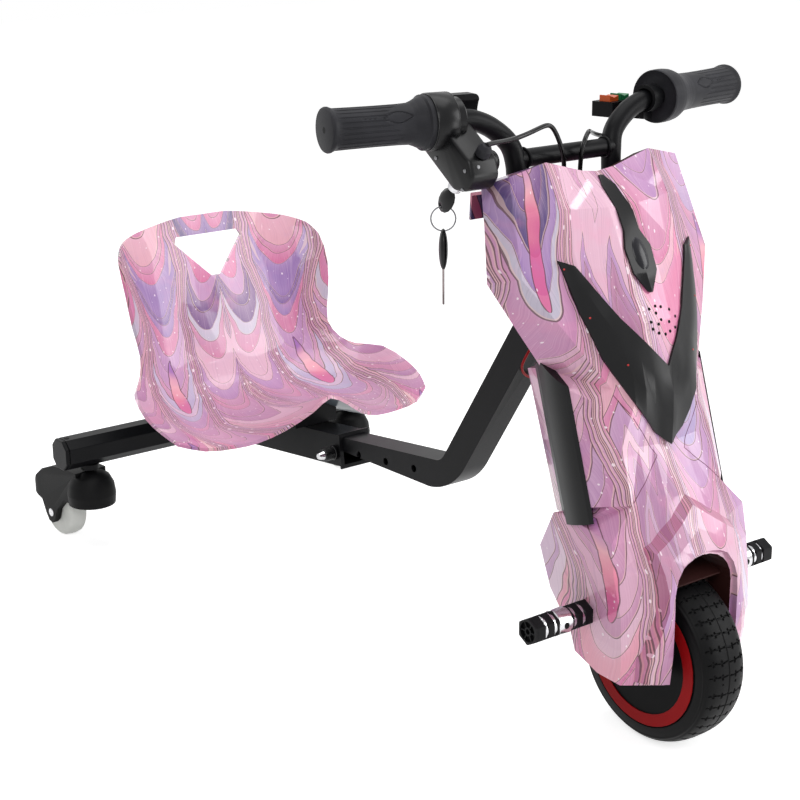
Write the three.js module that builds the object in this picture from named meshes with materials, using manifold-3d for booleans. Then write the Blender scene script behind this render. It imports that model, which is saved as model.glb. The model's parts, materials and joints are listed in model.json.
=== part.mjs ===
// Drifting tricycle scooter. A bent square beam carries the steering head at its front end and,
// at its rear end, a sliding carriage with a bucket seat and two swivelling casters.
// The front wheel, its fork, the plastic body and the handlebar all steer together.
// Millimetres, +X forward, +Y to the rider's left, +Z up, wheels standing on Z = 0.

import * as THREE from 'three';
import { mergeVertices } from 'three/addons/utils/BufferGeometryUtils.js';
import Module from 'manifold-3d';

const wasm = await Module();
wasm.setup();

// Gaps between pieces
const clearance = 0.3;
const runningGap = 0.5;
const cutOverrun = 5;
const weldDistance = 1e-4;

// Front wheel
const tyreRadius = 99;
const tyreWidth = 64;
const beadRadius = 78;
const hubWidth = 62;
const ringOuterRadius = 76.8;
const ringInnerRadius = 62.9;
const ringThickness = 1.2;
const axleRadius = 6;
const axleNutRadius = 10;
const axleNutHeight = 9;
const wheelSides = 40;

// Steering: the axis leans back and passes through the front axle
const wheelbase = 896;
const headSetback = 147.54;
const columnRadius = 12.7;
const columnShoulderRadius = 18;
const columnShoulderHeight = 6;
const headTubeRadius = 21;
const headTubeBoreRadius = 14.5;
const headTubeLength = 90;
const bearingHeight = 6;
const bearingRadius = 20;
const stemNutRadius = 18;
const stemNutHeight = 10;
const columnTail = 3;

// Fork
const forkThickness = 5;
const forkWidth = 36;
const crownThickness = 8;
const forkTyreGap = 7;
const forkDrop = 18;
const linerGap = 6;
const linerThickness = 2.5;
const linerSpanDegrees = 108;
const linerStartDegrees = 65;

// Beam
const beamSize = 36.5;
const beamWall = 2.5;
const beamRiseDegrees = 6.25;
const beamAim = 1.17;
const beamHeightAtRear = 148.3;
const beamOuterRadius = 95;
const beamInnerRadius = 24;
const beamBendX = 543.6;
const beamRearX = 136;
const beamEndSetback = 14;
const adjustHoleRadius = 5;
const adjustHolePitch = 59;
const adjustHoleCount = 5;
const adjustHoleStart = 65;

// Rear carriage
const socketWall = 2.7;
const socketFrontX = 330;
const socketLipWidth = 3;
const socketLipRise = 2.5;
const crossTubeSize = 42.6;
const crossTubeWall = 2.5;
const crossTubeChamfer = 11;
const crossTubeHeight = 146.6;
const crossTubeHalfLength = 270;
const endCapThickness = 6;
const endCapPlug = 14;
const lockBoltX = 315;
const lockBoltRadius = 4;
const lockBossRadius = 9;
const lockBossLength = 12;
const lockHeadRadius = 6.5;
const lockHeadLength = 16;
const lockBoltDrop = 3;

// Casters
const casterWheelRadius = 37.5;
const casterWheelWidth = 28;
const casterTrail = 72;
const casterY = 224;
const casterPinRadius = 4;
const casterStemRadius = 6;
const casterCollarRadius = 13;
const casterCollarHeight = 8;
const casterDomeRadius = 33;
const casterDomeTop = 114;
const casterDomeBottom = 66;
const casterForkWidth = 50;
const casterSlotGap = 1.6;
const casterWheelGap = 4;
const casterToeRightDegrees = 5;
const casterToeLeftDegrees = 24;
const casterTailReach = 130;
const casterSides = 28;

// Body panels share one block: height above the sill, depth forward of its back, half width
const bodyHeight = 537;
const bodyDepth = 210;
const bodyHalfWidth = 155;
const bodySetback = 156;
const bodySill = 92;
const headTubeDrop = 95;
const gripRise = 44;
const panelThickness = 3;
const archHalfWidth = 45;
const archStraightHeight = 190;
const archTopHeight = 228.5;
const archRimThickness = 2.5;
const archRimStart = 22;

// Black trims on the body
const trimProud = 5;
const trimSunk = 2;
const barWidth = 58;
const barBulge = 11;
const barLength = 160;

// Handlebar and what is on it
const barRadius = 11.1;
const barSides = 12;
const gripHalfSpan = 291;
const gripSetback = 207;
const gripSweepDegrees = 11.2;
const riserHalfSpan = 69.5;
const bendEndY = 143;
const crossbarRadius = 10;
const stemPlateThickness = 8;
const stemPlateWidth = 40;
const gripRadius = 21.2;
const gripWaistRadius = 20.7;
const gripFlangeRadius = 23.3;
const gripEndWall = 5;
const throttleInnerEnd = 178;
const leftInnerEnd = 140;
const gripCollarRadius = 28.5;
const gripCupRadius = 30;
const gripCupDepth = 20;
const housingRadius = 30;
const housingWidth = 25;
const housingNeckWidth = 12;
const housingNeckRadius = 24;
const lockBodyLeanDegrees = 54;
const lockBodyLength = 86;
const lockBodyDepth = 42;
const lockBodyWidth = 38;
const lockBodyOuterY = 172;
const displayHeight = 24;
const displayWidth = 66;
const displayDepth = 17;
const switchBoxLength = 60;
const switchBoxDepth = 28;
const switchBoxHeight = 17;
const rockerRadius = 8.5;
const rockerWidth = 15;
const cableRadius = 2.6;

// Foot pegs
const pegTipY = 181.2;
const pegInnerY = 99.5;
const pegRadius = 15.5;
const pegStudRadius = 8;
const pegAhead = 5.4;
const pegUp = 69.2;

// Seat
const seatWidth = 434;
const seatDepth = 313;
const seatHeight = 253;
const seatThickness = 5;
const seatBaseHeight = 193;
const seatBackX = -40;
const handholdTopWidth = 112;
const handholdBottomWidth = 34;
const handholdHeight = 58;
const handholdBottom = 362;
const handholdCorner = 9;

// Keys
const lockBarrelRadius = 8;
const lockBarrelLength = 7;
const keyLeanDegrees = 42;
const keyBowLength = 26;
const keyBowWidth = 22;
const keyBowThickness = 8;
const keyBladeWidth = 7;
const keyBladeThickness = 2.2;
const keyRingRadius = 13;
const keyRingWire = 0.8;
const keyHoleRadius = 3;
const ringSag = 1;
const spareSag = 1.6;

// The head tube and the grips keep their places against the top of the body.
const headTubeCentre = bodyHeight - headTubeDrop;
const gripZ = bodySill + bodyHeight + gripRise;
const gripX = wheelbase - gripSetback;

const gripSweep = THREE.MathUtils.degToRad(gripSweepDegrees);
const rake = Math.asin(headSetback / headTubeCentre);
const rise = THREE.MathUtils.degToRad(beamRiseDegrees);
const headX = wheelbase - (headTubeCentre + beamAim) * Math.sin(rake);
const headZ = tyreRadius + (headTubeCentre + beamAim) * Math.cos(rake);
const beamBendZ = beamHeightAtRear + beamBendX * Math.tan(rise);
const climb = Math.atan2(headZ - beamBendZ, headX - beamBendX);
const quarterTurn = Math.PI / 2;

// Finishes
const finishes = {
  blackSteel: ['#1c1d1f', 0.55, 0.4],
  blackPlastic: ['#17181a', 0.5, 0],
  blackRubber: ['#1b1b1c', 0.85, 0],
  printedPlastic: ['#d79bc0', 0.25, 0],
  redPlastic: ['#b0151a', 0.45, 0],
  darkLiner: ['#3a2224', 0.7, 0],
  brightSteel: ['#c9cacc', 0.25, 1],
  zincSteel: ['#9a9ca0', 0.4, 0.9],
  whiteNylon: ['#e9e9e6', 0.45, 0],
  greenPlastic: ['#1d7a4c', 0.4, 0],
  orangePlastic: ['#e8651a', 0.4, 0],
  bluePack: ['#2c4f7d', 0.5, 0],
};

function finishOf(name) {
  const [color, roughness, metalness] = finishes[name];
  return new THREE.MeshStandardMaterial({ color, roughness, metalness, flatShading: true });
}

// Shape helpers

// A closed three.js geometry as a solid that can be joined and cut.
function solidOf(geometry) {
  const bare = new THREE.BufferGeometry();
  bare.setAttribute('position', geometry.attributes.position.clone());
  if (geometry.index) bare.setIndex(geometry.index.clone());
  const merged = mergeVertices(bare, weldDistance);
  const corners = merged.index.array;
  const spots = merged.attributes.position;
  const triangles = [];
  let volume = 0;
  const [p, q, r] = [new THREE.Vector3(), new THREE.Vector3(), new THREE.Vector3()];
  for (let i = 0; i < corners.length; i += 3) {
    const [a, b, c] = [corners[i], corners[i + 1], corners[i + 2]];
    if (a === b || b === c || c === a) continue;
    triangles.push(a, b, c);
    p.fromBufferAttribute(spots, a);
    q.fromBufferAttribute(spots, b);
    r.fromBufferAttribute(spots, c);
    volume += p.dot(q.cross(r));
  }
  if (volume < 0) triangles.reverse();
  return new wasm.Manifold(new wasm.Mesh({
    numProp: 3,
    vertProperties: new Float32Array(spots.array),
    triVerts: new Uint32Array(triangles),
  }));
}

function geometryOf(solid) {
  const { vertProperties, triVerts } = solid.getMesh();
  const geometry = new THREE.BufferGeometry();
  geometry.setAttribute('position', new THREE.BufferAttribute(vertProperties, 3));
  geometry.setIndex(new THREE.BufferAttribute(triVerts, 1));
  geometry.computeVertexNormals();
  return geometry;
}

function piece(name, geometry, finish) {
  const mesh = new THREE.Mesh(geometryOf(solidOf(geometry)), finishOf(finish));
  mesh.name = name;
  return mesh;
}

function cutPiece(name, solid, finish) {
  const mesh = new THREE.Mesh(geometryOf(solid), finishOf(finish));
  mesh.name = name;
  return mesh;
}

// Solid of revolution about the Z axis, or about the Y axis, from [radius, height] points.
function turned(profile, sides) {
  return turnedAcross(profile, sides).rotateX(quarterTurn);
}

function turnedAcross(profile, sides) {
  return new THREE.LatheGeometry(profile.map(([radius, height]) => new THREE.Vector2(radius, height)), sides);
}

function rod(radius, from, to, sides) {
  return turned([[0, from], [radius, from], [radius, to], [0, to]], sides);
}

function rodAcross(radius, from, to, sides) {
  return turnedAcross([[0, from], [radius, from], [radius, to], [0, to]], sides);
}

function ring(inner, outer, from, to, sides) {
  return turned([[inner, from], [outer, from], [outer, to], [inner, to], [inner, from]], sides);
}

function ringAcross(inner, outer, from, to, sides) {
  return turnedAcross([[inner, from], [outer, from], [outer, to], [inner, to], [inner, from]], sides);
}

// A hexagonal nut or boss about the Y axis with a round bore, on the +Y side.
function hexAcross(inner, outer, from, to) {
  const bore = rodAcross(inner, from - cutOverrun, to + cutOverrun, 24);
  return solidOf(rodAcross(outer, from, to, 6)).subtract(solidOf(bore));
}

// What is left of a solid beside another one, with the clearance between them on every side.
function clearOf(solid, other) {
  let left = solid.subtract(other);
  const corners = [-clearance, clearance].flatMap((x) => [-clearance, clearance].flatMap(
    (y) => [[x, y, clearance], [x, y, -clearance]]));
  for (const step of [[clearance, 0, 0], [0, clearance, 0], [0, 0, clearance], ...corners]) {
    left = left.subtract(other.translate(step)).subtract(other.translate(step.map((v) => -v)));
  }
  return largestOf(left);
}

function largestOf(solid) {
  return solid.decompose().reduce((best, next) => (next.volume() > best.volume() ? next : best));
}

// Outline of [x, z] points swept across Y, centred on Y = middle.
function sidePlate(outline, width, middle = 0) {
  return swept(outline, width).rotateX(quarterTurn).translate(0, middle + width / 2, 0);
}

// Outline of [y, z] points swept along X from a starting X.
function frontPlate(outline, depth, startX) {
  const toFront = new THREE.Matrix4().makeBasis(
    new THREE.Vector3(0, 1, 0), new THREE.Vector3(0, 0, 1), new THREE.Vector3(1, 0, 0));
  return swept(outline, depth).applyMatrix4(toFront).translate(startX, 0, 0);
}

function swept(outline, depth) {
  const shape = outline instanceof THREE.Shape ? outline : new THREE.Shape(outline.map(([x, y]) => new THREE.Vector2(x, y)));
  return new THREE.ExtrudeGeometry(shape, { depth, bevelEnabled: false, curveSegments: 6 });
}

function block([x0, x1], [y0, y1], [z0, z1]) {
  return new THREE.BoxGeometry(x1 - x0, y1 - y0, z1 - z0)
    .translate((x0 + x1) / 2, (y0 + y1) / 2, (z0 + z1) / 2);
}

function roundedOutline(halfWidth, halfHeight, corner) {
  const shape = new THREE.Shape();
  const [w, h] = [halfWidth - corner, halfHeight - corner];
  shape.absarc(w, h, corner, 0, quarterTurn);
  shape.absarc(-w, h, corner, quarterTurn, 2 * quarterTurn);
  shape.absarc(-w, -h, corner, 2 * quarterTurn, 3 * quarterTurn);
  shape.absarc(w, -h, corner, 3 * quarterTurn, 4 * quarterTurn);
  return shape;
}

// A round tube of one radius along a curve through points.
function tubeAlong(points, radius, sides, steps) {
  const path = new THREE.CatmullRomCurve3(points.map((point) => new THREE.Vector3(...point)), false, 'centripetal');
  const section = new THREE.Shape();
  for (let i = 0; i < sides; i += 1) {
    const angle = (i / sides) * 4 * quarterTurn;
    const [x, y] = [radius * Math.cos(angle), radius * Math.sin(angle)];
    if (i === 0) section.moveTo(x, y);
    else section.lineTo(x, y);
  }
  return new THREE.ExtrudeGeometry(section, { steps, extrudePath: path, bevelEnabled: false });
}

// The two triangles of one lattice square, split the same way on both sides of the middle column.
function facetsOf(row, column, columns) {
  const [a, b] = [[row, column], [row, column + 1]];
  const [d, c] = [[row + 1, column], [row + 1, column + 1]];
  return column < (columns - 1) / 2 ? [[a, b, d], [b, c, d]] : [[a, b, c], [a, c, d]];
}

// A thin closed shell between a lattice of points and the same lattice moved by an offset.
function shellOf(outer, inner) {
  const rows = outer.length;
  const columns = outer[0].length;
  const positions = [...outer.flat(), ...inner.flat()].flat();
  const second = rows * columns;
  const at = (row, column) => row * columns + column;
  const faces = [];
  const quad = (a, b, c, d) => faces.push(a, b, c, a, c, d);
  for (let i = 0; i < rows - 1; i += 1) {
    for (let j = 0; j < columns - 1; j += 1) {
      for (const [a, b, c] of facetsOf(i, j, columns)) {
        faces.push(at(...a), at(...b), at(...c), second + at(...a), second + at(...c), second + at(...b));
      }
    }
  }
  const wall = (a, b) => quad(a, second + a, second + b, b);
  for (let j = 0; j < columns - 1; j += 1) {
    wall(at(0, j), at(0, j + 1));
    wall(at(rows - 1, j + 1), at(rows - 1, j));
  }
  for (let i = 0; i < rows - 1; i += 1) {
    wall(at(i + 1, 0), at(i, 0));
    wall(at(i, columns - 1), at(i + 1, columns - 1));
  }
  const geometry = new THREE.BufferGeometry();
  geometry.setAttribute('position', new THREE.Float32BufferAttribute(positions, 3));
  geometry.setIndex(faces);
  return geometry;
}

// The normal of a lattice at each point, from the points on either side of it.
function latticeNormals(lattice) {
  const last = lattice.length - 1;
  const lastColumn = lattice[0].length - 1;
  const between = (a, b) => new THREE.Vector3(b[0] - a[0], b[1] - a[1], b[2] - a[2]);
  return lattice.map((row, i) => row.map((_, j) => {
    const along = between(lattice[Math.max(i - 1, 0)][j], lattice[Math.min(i + 1, last)][j]);
    const across = between(row[Math.max(j - 1, 0)], row[Math.min(j + 1, lastColumn)]);
    return across.cross(along).normalize();
  }));
}

function offsetLattice(lattice, distance) {
  const normals = latticeNormals(lattice);
  return lattice.map((row, i) => row.map(([x, y, z], j) => {
    const n = normals[i][j];
    return [x + distance * n.x, y + distance * n.y, z + distance * n.z];
  }));
}

// Half a lattice, from the centre line out, mirrored to the full width.
function mirrored(half) {
  return half.map((row) => [
    ...row.slice(1).reverse().map(([x, y, z]) => [x, -y, z]),
    ...row,
  ]);
}

// Extra points on smooth curves through the points of a lattice, along and across it.
function smoothed(lattice, between) {
  const curved = (points) => {
    const curve = new THREE.CatmullRomCurve3(points.map((point) => new THREE.Vector3(...point)));
    const count = (points.length - 1) * between;
    return Array.from({ length: count + 1 }, (_, i) => curve.getPoint(i / count).toArray());
  };
  const rows = lattice.map(curved);
  const columns = rows[0].map((_, j) => curved(rows.map((row) => row[j])));
  return columns[0].map((_, i) => columns.map((column) => column[i]));
}

// Main beam and steering head

// Outline of a bar that follows the beam's centre line, from a start X to a distance up the climb.
// Its outer and inner corners at the bend are rounded apart.
function beamOutline(size, startX, climbLength) {
  const half = size / 2;
  const halfTurn = (climb - rise) / 2;
  const bend = [beamBendX, beamHeightAtRear + beamBendX * Math.tan(rise)];
  const middle = (climb + rise) / 2;
  const inward = [-Math.sin(middle), Math.cos(middle)];
  const grow = (beamSize - size) / 2;
  const outerRadius = beamOuterRadius - grow;
  const innerRadius = beamInnerRadius + grow;
  const centreOf = (radius, side) => inward.map((v, i) => bend[i] + v * (radius + side * half) / Math.cos(halfTurn));
  const end = [bend[0] + climbLength * Math.cos(climb), bend[1] + climbLength * Math.sin(climb)];
  const start = [startX, beamHeightAtRear + startX * Math.tan(rise)];
  const shape = new THREE.Shape();
  shape.moveTo(start[0] + half * Math.sin(rise), start[1] - half * Math.cos(rise));
  shape.absarc(...centreOf(outerRadius, -1), outerRadius, rise - quarterTurn, climb - quarterTurn);
  shape.lineTo(end[0] + half * Math.sin(climb), end[1] - half * Math.cos(climb));
  shape.lineTo(end[0] - half * Math.sin(climb), end[1] + half * Math.cos(climb));
  shape.absarc(...centreOf(innerRadius, 1), innerRadius, climb - quarterTurn, rise - quarterTurn, true);
  shape.lineTo(start[0] - half * Math.sin(rise), start[1] + half * Math.cos(rise));
  return shape;
}

// Length of the climb from the bend to the steering axis, where the beam meets the head tube.
function climbToHead() {
  const middleX = wheelbase - headTubeCentre * Math.sin(rake);
  return (middleX - beamBendX) / Math.cos(climb);
}

const headLength = climbToHead();

function inHead(geometry) {
  return geometry.rotateY(-rake).translate(wheelbase, 0, tyreRadius);
}

function mainBeam() {
  const outerLength = headLength - beamEndSetback;
  const innerLength = outerLength - headTubeRadius * 2;
  const innerStart = beamRearX - cutOverrun;
  let solid = solidOf(sidePlate(beamOutline(beamSize, beamRearX, outerLength), beamSize));
  const innerSize = beamSize - 2 * beamWall;
  solid = solid.subtract(solidOf(sidePlate(beamOutline(innerSize, innerStart, innerLength), innerSize)));
  for (let i = 0; i < adjustHoleCount; i += 1) {
    const back = adjustHoleStart + i * adjustHolePitch;
    const x = beamBendX - back * Math.cos(rise);
    const z = beamHeightAtRear + x * Math.tan(rise);
    const reach = beamSize / 2 + cutOverrun;
    solid = solid.subtract(solidOf(rodAcross(adjustHoleRadius, -reach, reach, 12).translate(x, 0, z)));
  }
  const headCut = rod(headTubeRadius + clearance, headTubeCentre - headTubeLength,
    headTubeCentre + headTubeLength, 24);
  solid = solid.subtract(solidOf(inHead(headCut)));
  return cutPiece('main_beam', solid, 'blackSteel');
}

const headBottom = headTubeCentre - headTubeLength / 2;
const headTop = headTubeCentre + headTubeLength / 2;
const lowerBearingBottom = headBottom - clearance - bearingHeight;
const upperBearingTop = headTop + clearance + bearingHeight;

function headPieces() {
  const boreRadius = columnRadius + runningGap;
  const tube = ring(headTubeBoreRadius, headTubeRadius, headBottom, headTop, 24);
  const lower = ring(boreRadius, bearingRadius, lowerBearingBottom, headBottom - clearance, 24);
  const upper = ring(boreRadius, bearingRadius, headTop + clearance, upperBearingTop, 24);
  return [
    piece('head_tube', inHead(tube), 'blackSteel'),
    piece('head_bearing_lower', inHead(lower), 'zincSteel'),
    piece('head_bearing_upper', inHead(upper), 'zincSteel'),
  ];
}

// Rear carriage: these are placed along the beam's own slope

const socketBore = beamSize + 2 * clearance;
const socketSize = socketBore + 2 * socketWall;
const socketTop = socketSize / 2;

function alongBeam(geometry) {
  return geometry.rotateY(-rise).translate(0, 0, beamHeightAtRear);
}

function adjustSocket() {
  const startX = 0;
  const half = socketSize / 2;
  const lip = half + socketLipRise;
  let solid = solidOf(block([startX, socketFrontX], [-half, half], [-half, half]));
  solid = solid.add(solidOf(block([socketFrontX - socketLipWidth, socketFrontX], [-lip, lip], [-lip, lip])));
  const bore = socketBore / 2;
  solid = solid.subtract(solidOf(
    block([startX - cutOverrun, socketFrontX + cutOverrun], [-bore, bore], [-bore, bore])));
  const hole = lockBoltRadius + clearance;
  const bolt = rodAcross(hole, -half - cutOverrun, -bore + cutOverrun, 12)
    .translate(lockBoltX, 0, -lockBoltDrop);
  solid = solid.subtract(solidOf(bolt));
  const tube = sidePlate(chamferedSquare(crossTubeSize, crossTubeChamfer), 2 * socketSize)
    .translate(0, 0, crossTubeHeight - beamHeightAtRear).rotateY(rise);
  return cutPiece('adjust_socket', clearOf(solid, solidOf(tube)), 'blackSteel');
}

function lockBoltPieces() {
  const wallY = socketSize / 2 + clearance;
  const bossEnd = wallY + lockBossLength;
  const boss = hexAcross(lockBoltRadius + clearance, lockBossRadius, -bossEnd, -wallY);
  const tip = beamSize / 2 + 2 * clearance;
  const headStart = bossEnd + clearance;
  const dome = lockHeadRadius * 0.6;
  const bolt = turnedAcross([
    [0, -headStart - lockHeadLength],
    [dome, -headStart - lockHeadLength],
    [lockHeadRadius, -headStart - lockHeadLength / 2],
    [lockHeadRadius, -headStart],
    [lockBoltRadius, -headStart],
    [lockBoltRadius, -tip],
    [0, -tip],
  ], 12);
  return [
    cutPiece('lock_boss', boss.translate([lockBoltX, 0, -lockBoltDrop]), 'blackSteel'),
    piece('lock_bolt', bolt.translate(lockBoltX, 0, -lockBoltDrop), 'brightSteel'),
  ];
}

function chamferedSquare(size, chamfer) {
  const half = size / 2;
  const short = half - chamfer;
  return [
    [half, -short], [half, short], [short, half], [-short, half],
    [-half, short], [-half, -short], [-short, -half], [short, -half],
  ];
}

const tubeBoreSize = crossTubeSize - 2 * crossTubeWall;

function crossTube() {
  const length = 2 * (crossTubeHalfLength - endCapThickness - clearance);
  let solid = solidOf(sidePlate(chamferedSquare(crossTubeSize, crossTubeChamfer), length));
  const boreChamfer = crossTubeChamfer - crossTubeWall / 2;
  solid = solid.subtract(solidOf(sidePlate(chamferedSquare(tubeBoreSize, boreChamfer), length + cutOverrun)));
  for (const side of [-1, 1]) {
    const stem = rod(casterStemRadius + clearance, -crossTubeSize, 0, 16);
    solid = solid.subtract(solidOf(stem.translate(0, side * casterY, 0)));
  }
  return cutPiece('rear_cross_tube', solid, 'blackSteel');
}

function endCap(name, side) {
  const faceMiddle = side * (crossTubeHalfLength - endCapThickness / 2);
  const face = solidOf(sidePlate(chamferedSquare(crossTubeSize, crossTubeChamfer), endCapThickness, faceMiddle));
  const plugSize = tubeBoreSize - 2 * clearance;
  const plugLength = endCapPlug + endCapThickness;
  const plugMiddle = side * (crossTubeHalfLength - plugLength / 2);
  const plug = solidOf(sidePlate(chamferedSquare(plugSize, crossTubeChamfer), plugLength, plugMiddle));
  return cutPiece(name, face.add(plug), 'blackPlastic');
}

// Casters, each drawn about its kingpin with the trail along -X and the floor at Z = 0

const tubeUnderside = crossTubeHeight - crossTubeSize / 2;
const collarTop = tubeUnderside - clearance;
const collarBottom = collarTop - casterCollarHeight;
const domeTop = Math.min(casterDomeTop, collarBottom - runningGap);
const stemBottom = casterDomeBottom + casterCollarHeight;
const stemTop = tubeUnderside + crossTubeWall + casterCollarHeight;

function casterStem(name) {
  return piece(name, turned([
    [0, stemBottom],
    [casterStemRadius, stemBottom],
    [casterStemRadius, collarBottom],
    [casterCollarRadius, collarBottom],
    [casterCollarRadius, collarTop],
    [casterStemRadius, collarTop],
    [casterStemRadius, stemTop],
    [0, stemTop],
  ], 16), 'zincSteel');
}

const casterTailShares = [
  [0, 1], [-0.4, 1], [-0.85, 0.97], [-1.25, 0.88], [-1.52, 0.75], [-1.7, 0.6],
  [-1.62, 0.52], [-1.32, 0.46], [-1.2, 0.3], [-1.1, 0.21], [-0.98, 0.19], [-0.88, 0.25],
  [-0.78, 0.4], [-0.5, 0.56], [0, 0.58],
];
const casterDomeShares = [[1, 0], [1.04, 0.3], [0.98, 0.6], [0.8, 0.84], [0.5, 0.97], [0.2, 1]];

function casterHood(name) {
  const wallHeight = domeTop - casterDomeBottom;
  const domeProfile = casterDomeShares.map(([radius, height]) => [
    radius * casterDomeRadius, casterDomeBottom + height * wallHeight]);
  const dome = turned([[0, casterDomeBottom], ...domeProfile, [0, domeTop]], casterSides);
  const tail = casterTailShares.map(([x, z]) => [x * casterTrail, z * domeTop]);
  const tailReach = casterTailReach - casterForkWidth / 2;
  const plan = solidOf(rod(casterForkWidth / 2, 0, crossTubeHeight, casterSides).translate(-tailReach, 0, 0))
    .add(solidOf(block([-tailReach, 0], [-casterForkWidth / 2, casterForkWidth / 2],
      [0, crossTubeHeight])));
  const fender = solidOf(sidePlate(tail, casterForkWidth)).intersect(plan);
  let solid = solidOf(dome).add(fender);
  const slotHalf = casterWheelWidth / 2 + casterSlotGap;
  const room = rodAcross(casterWheelRadius + casterWheelGap, -slotHalf, slotHalf, casterSides);
  solid = solid.subtract(solidOf(room.translate(-casterTrail, 0, casterWheelRadius)));
  const below = block([-2 * casterTrail, -casterTrail / 2], [-slotHalf, slotHalf], [0, casterWheelRadius]);
  solid = solid.subtract(solidOf(below));
  const pinHole = rodAcross(casterPinRadius + clearance, -casterForkWidth, casterForkWidth, 12);
  solid = solid.subtract(solidOf(pinHole.translate(-casterTrail, 0, casterWheelRadius)));
  const stemHole = rod(casterStemRadius + runningGap, stemBottom - runningGap, domeTop + cutOverrun, 16);
  solid = solid.subtract(solidOf(stemHole));
  return cutPiece(name, solid, 'blackPlastic');
}

function casterPin(name) {
  const reach = casterForkWidth / 2 + clearance;
  const head = casterPinRadius * 1.5;
  const headEnd = reach + casterPinRadius * 0.7;
  return piece(name, turnedAcross([
    [0, -headEnd], [head, -reach - clearance], [head, -reach], [casterPinRadius, -reach],
    [casterPinRadius, reach], [head, reach], [head, reach + clearance], [0, headEnd],
  ], 12).translate(-casterTrail, 0, casterWheelRadius), 'brightSteel');
}

function casterWheel(name) {
  const half = casterWheelWidth / 2;
  const bore = casterPinRadius + clearance;
  const shoulder = casterWheelRadius * 0.86;
  const round = [[shoulder, -half], [casterWheelRadius * 0.97, -half * 0.72], [casterWheelRadius, -half * 0.3]];
  const profile = [[bore, -half], ...round, ...round.map(([r, y]) => [r, -y]).reverse(), [bore, half], [bore, -half]];
  return piece(name, turnedAcross(profile, casterSides).translate(-casterTrail, 0, casterWheelRadius), 'whiteNylon');
}

function caster(sideName, y, toeDegrees) {
  const group = new THREE.Group();
  group.position.set(0, y, 0);
  group.rotation.z = THREE.MathUtils.degToRad(toeDegrees);
  group.add(
    casterHood(`caster_hood_${sideName}`),
    casterPin(`caster_pin_${sideName}`),
    casterWheel(`caster_wheel_${sideName}`),
  );
  const stem = casterStem(`caster_stem_${sideName}`);
  stem.position.set(0, y, 0);
  return [group, stem];
}

// Bucket seat: shares of its depth, half width and height, from the front edge to the top of the back
const seatShares = [
  [[1.00, 0.00, 0.21], [1.00, 0.14, 0.15], [0.95, 0.30, 0.06], [0.91, 0.46, 0.01], [0.91, 0.62, 0.01], [0.89, 0.81, 0.02], [0.83, 0.95, 0.05]],
  [[0.89, 0.00, 0.16], [0.88, 0.14, 0.11], [0.86, 0.31, 0.04], [0.84, 0.48, 0.00], [0.83, 0.65, 0.01], [0.81, 0.83, 0.05], [0.75, 0.99, 0.10]],
  [[0.75, 0.00, 0.09], [0.75, 0.15, 0.06], [0.73, 0.32, 0.02], [0.72, 0.49, 0.00], [0.70, 0.66, 0.02], [0.68, 0.85, 0.08], [0.64, 1.00, 0.15]],
  [[0.61, 0.00, 0.05], [0.60, 0.15, 0.04], [0.59, 0.32, 0.01], [0.58, 0.49, 0.00], [0.56, 0.66, 0.04], [0.53, 0.83, 0.11], [0.50, 0.95, 0.21]],
  [[0.46, 0.00, 0.04], [0.46, 0.16, 0.04], [0.45, 0.32, 0.03], [0.43, 0.48, 0.04], [0.42, 0.64, 0.08], [0.40, 0.76, 0.15], [0.38, 0.85, 0.21]],
  [[0.35, 0.00, 0.08], [0.34, 0.16, 0.08], [0.33, 0.31, 0.08], [0.32, 0.46, 0.10], [0.31, 0.60, 0.15], [0.31, 0.70, 0.21], [0.33, 0.77, 0.25]],
  [[0.26, 0.00, 0.19], [0.25, 0.16, 0.19], [0.24, 0.31, 0.20], [0.23, 0.45, 0.23], [0.24, 0.58, 0.27], [0.26, 0.67, 0.31], [0.28, 0.72, 0.34]],
  [[0.19, 0.00, 0.38], [0.19, 0.16, 0.39], [0.18, 0.30, 0.40], [0.18, 0.45, 0.42], [0.20, 0.59, 0.45], [0.23, 0.68, 0.48], [0.26, 0.75, 0.50]],
  [[0.13, 0.00, 0.62], [0.12, 0.16, 0.62], [0.12, 0.30, 0.63], [0.12, 0.45, 0.64], [0.15, 0.60, 0.66], [0.20, 0.70, 0.67], [0.24, 0.77, 0.68]],
  [[0.06, 0.00, 0.82], [0.06, 0.16, 0.82], [0.06, 0.30, 0.82], [0.07, 0.45, 0.82], [0.10, 0.60, 0.83], [0.14, 0.69, 0.83], [0.18, 0.76, 0.84]],
  [[0.00, 0.00, 1.00], [0.00, 0.18, 1.00], [0.01, 0.35, 0.98], [0.02, 0.48, 0.96], [0.05, 0.60, 0.94], [0.09, 0.67, 0.92], [0.12, 0.72, 0.90]],
];

function seatLattice() {
  const half = seatShares.map((row) => row.map(([x, y, z]) => [
    seatBackX + x * seatDepth, y * seatWidth / 2, seatBaseHeight + z * seatHeight]));
  return smoothed(mirrored(half), 2);
}

function handholdCut() {
  const [top, bottom] = [handholdTopWidth / 2, handholdBottomWidth / 2];
  const highZ = handholdBottom + handholdHeight;
  const outline = [
    [-bottom + handholdCorner, handholdBottom], [bottom - handholdCorner, handholdBottom],
    [bottom, handholdBottom + handholdCorner], [top, highZ - handholdCorner],
    [top - handholdCorner / 2, highZ], [-top + handholdCorner / 2, highZ],
    [-top, highZ - handholdCorner], [-bottom, handholdBottom + handholdCorner],
  ];
  return solidOf(frontPlate(outline, seatDepth, seatBackX - seatDepth / 2));
}

function seatShell() {
  const lattice = seatLattice();
  const solid = solidOf(shellOf(lattice, offsetLattice(lattice, -seatThickness)));
  return cutPiece('seat_shell', solid.subtract(handholdCut()), 'printedPlastic');
}

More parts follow.
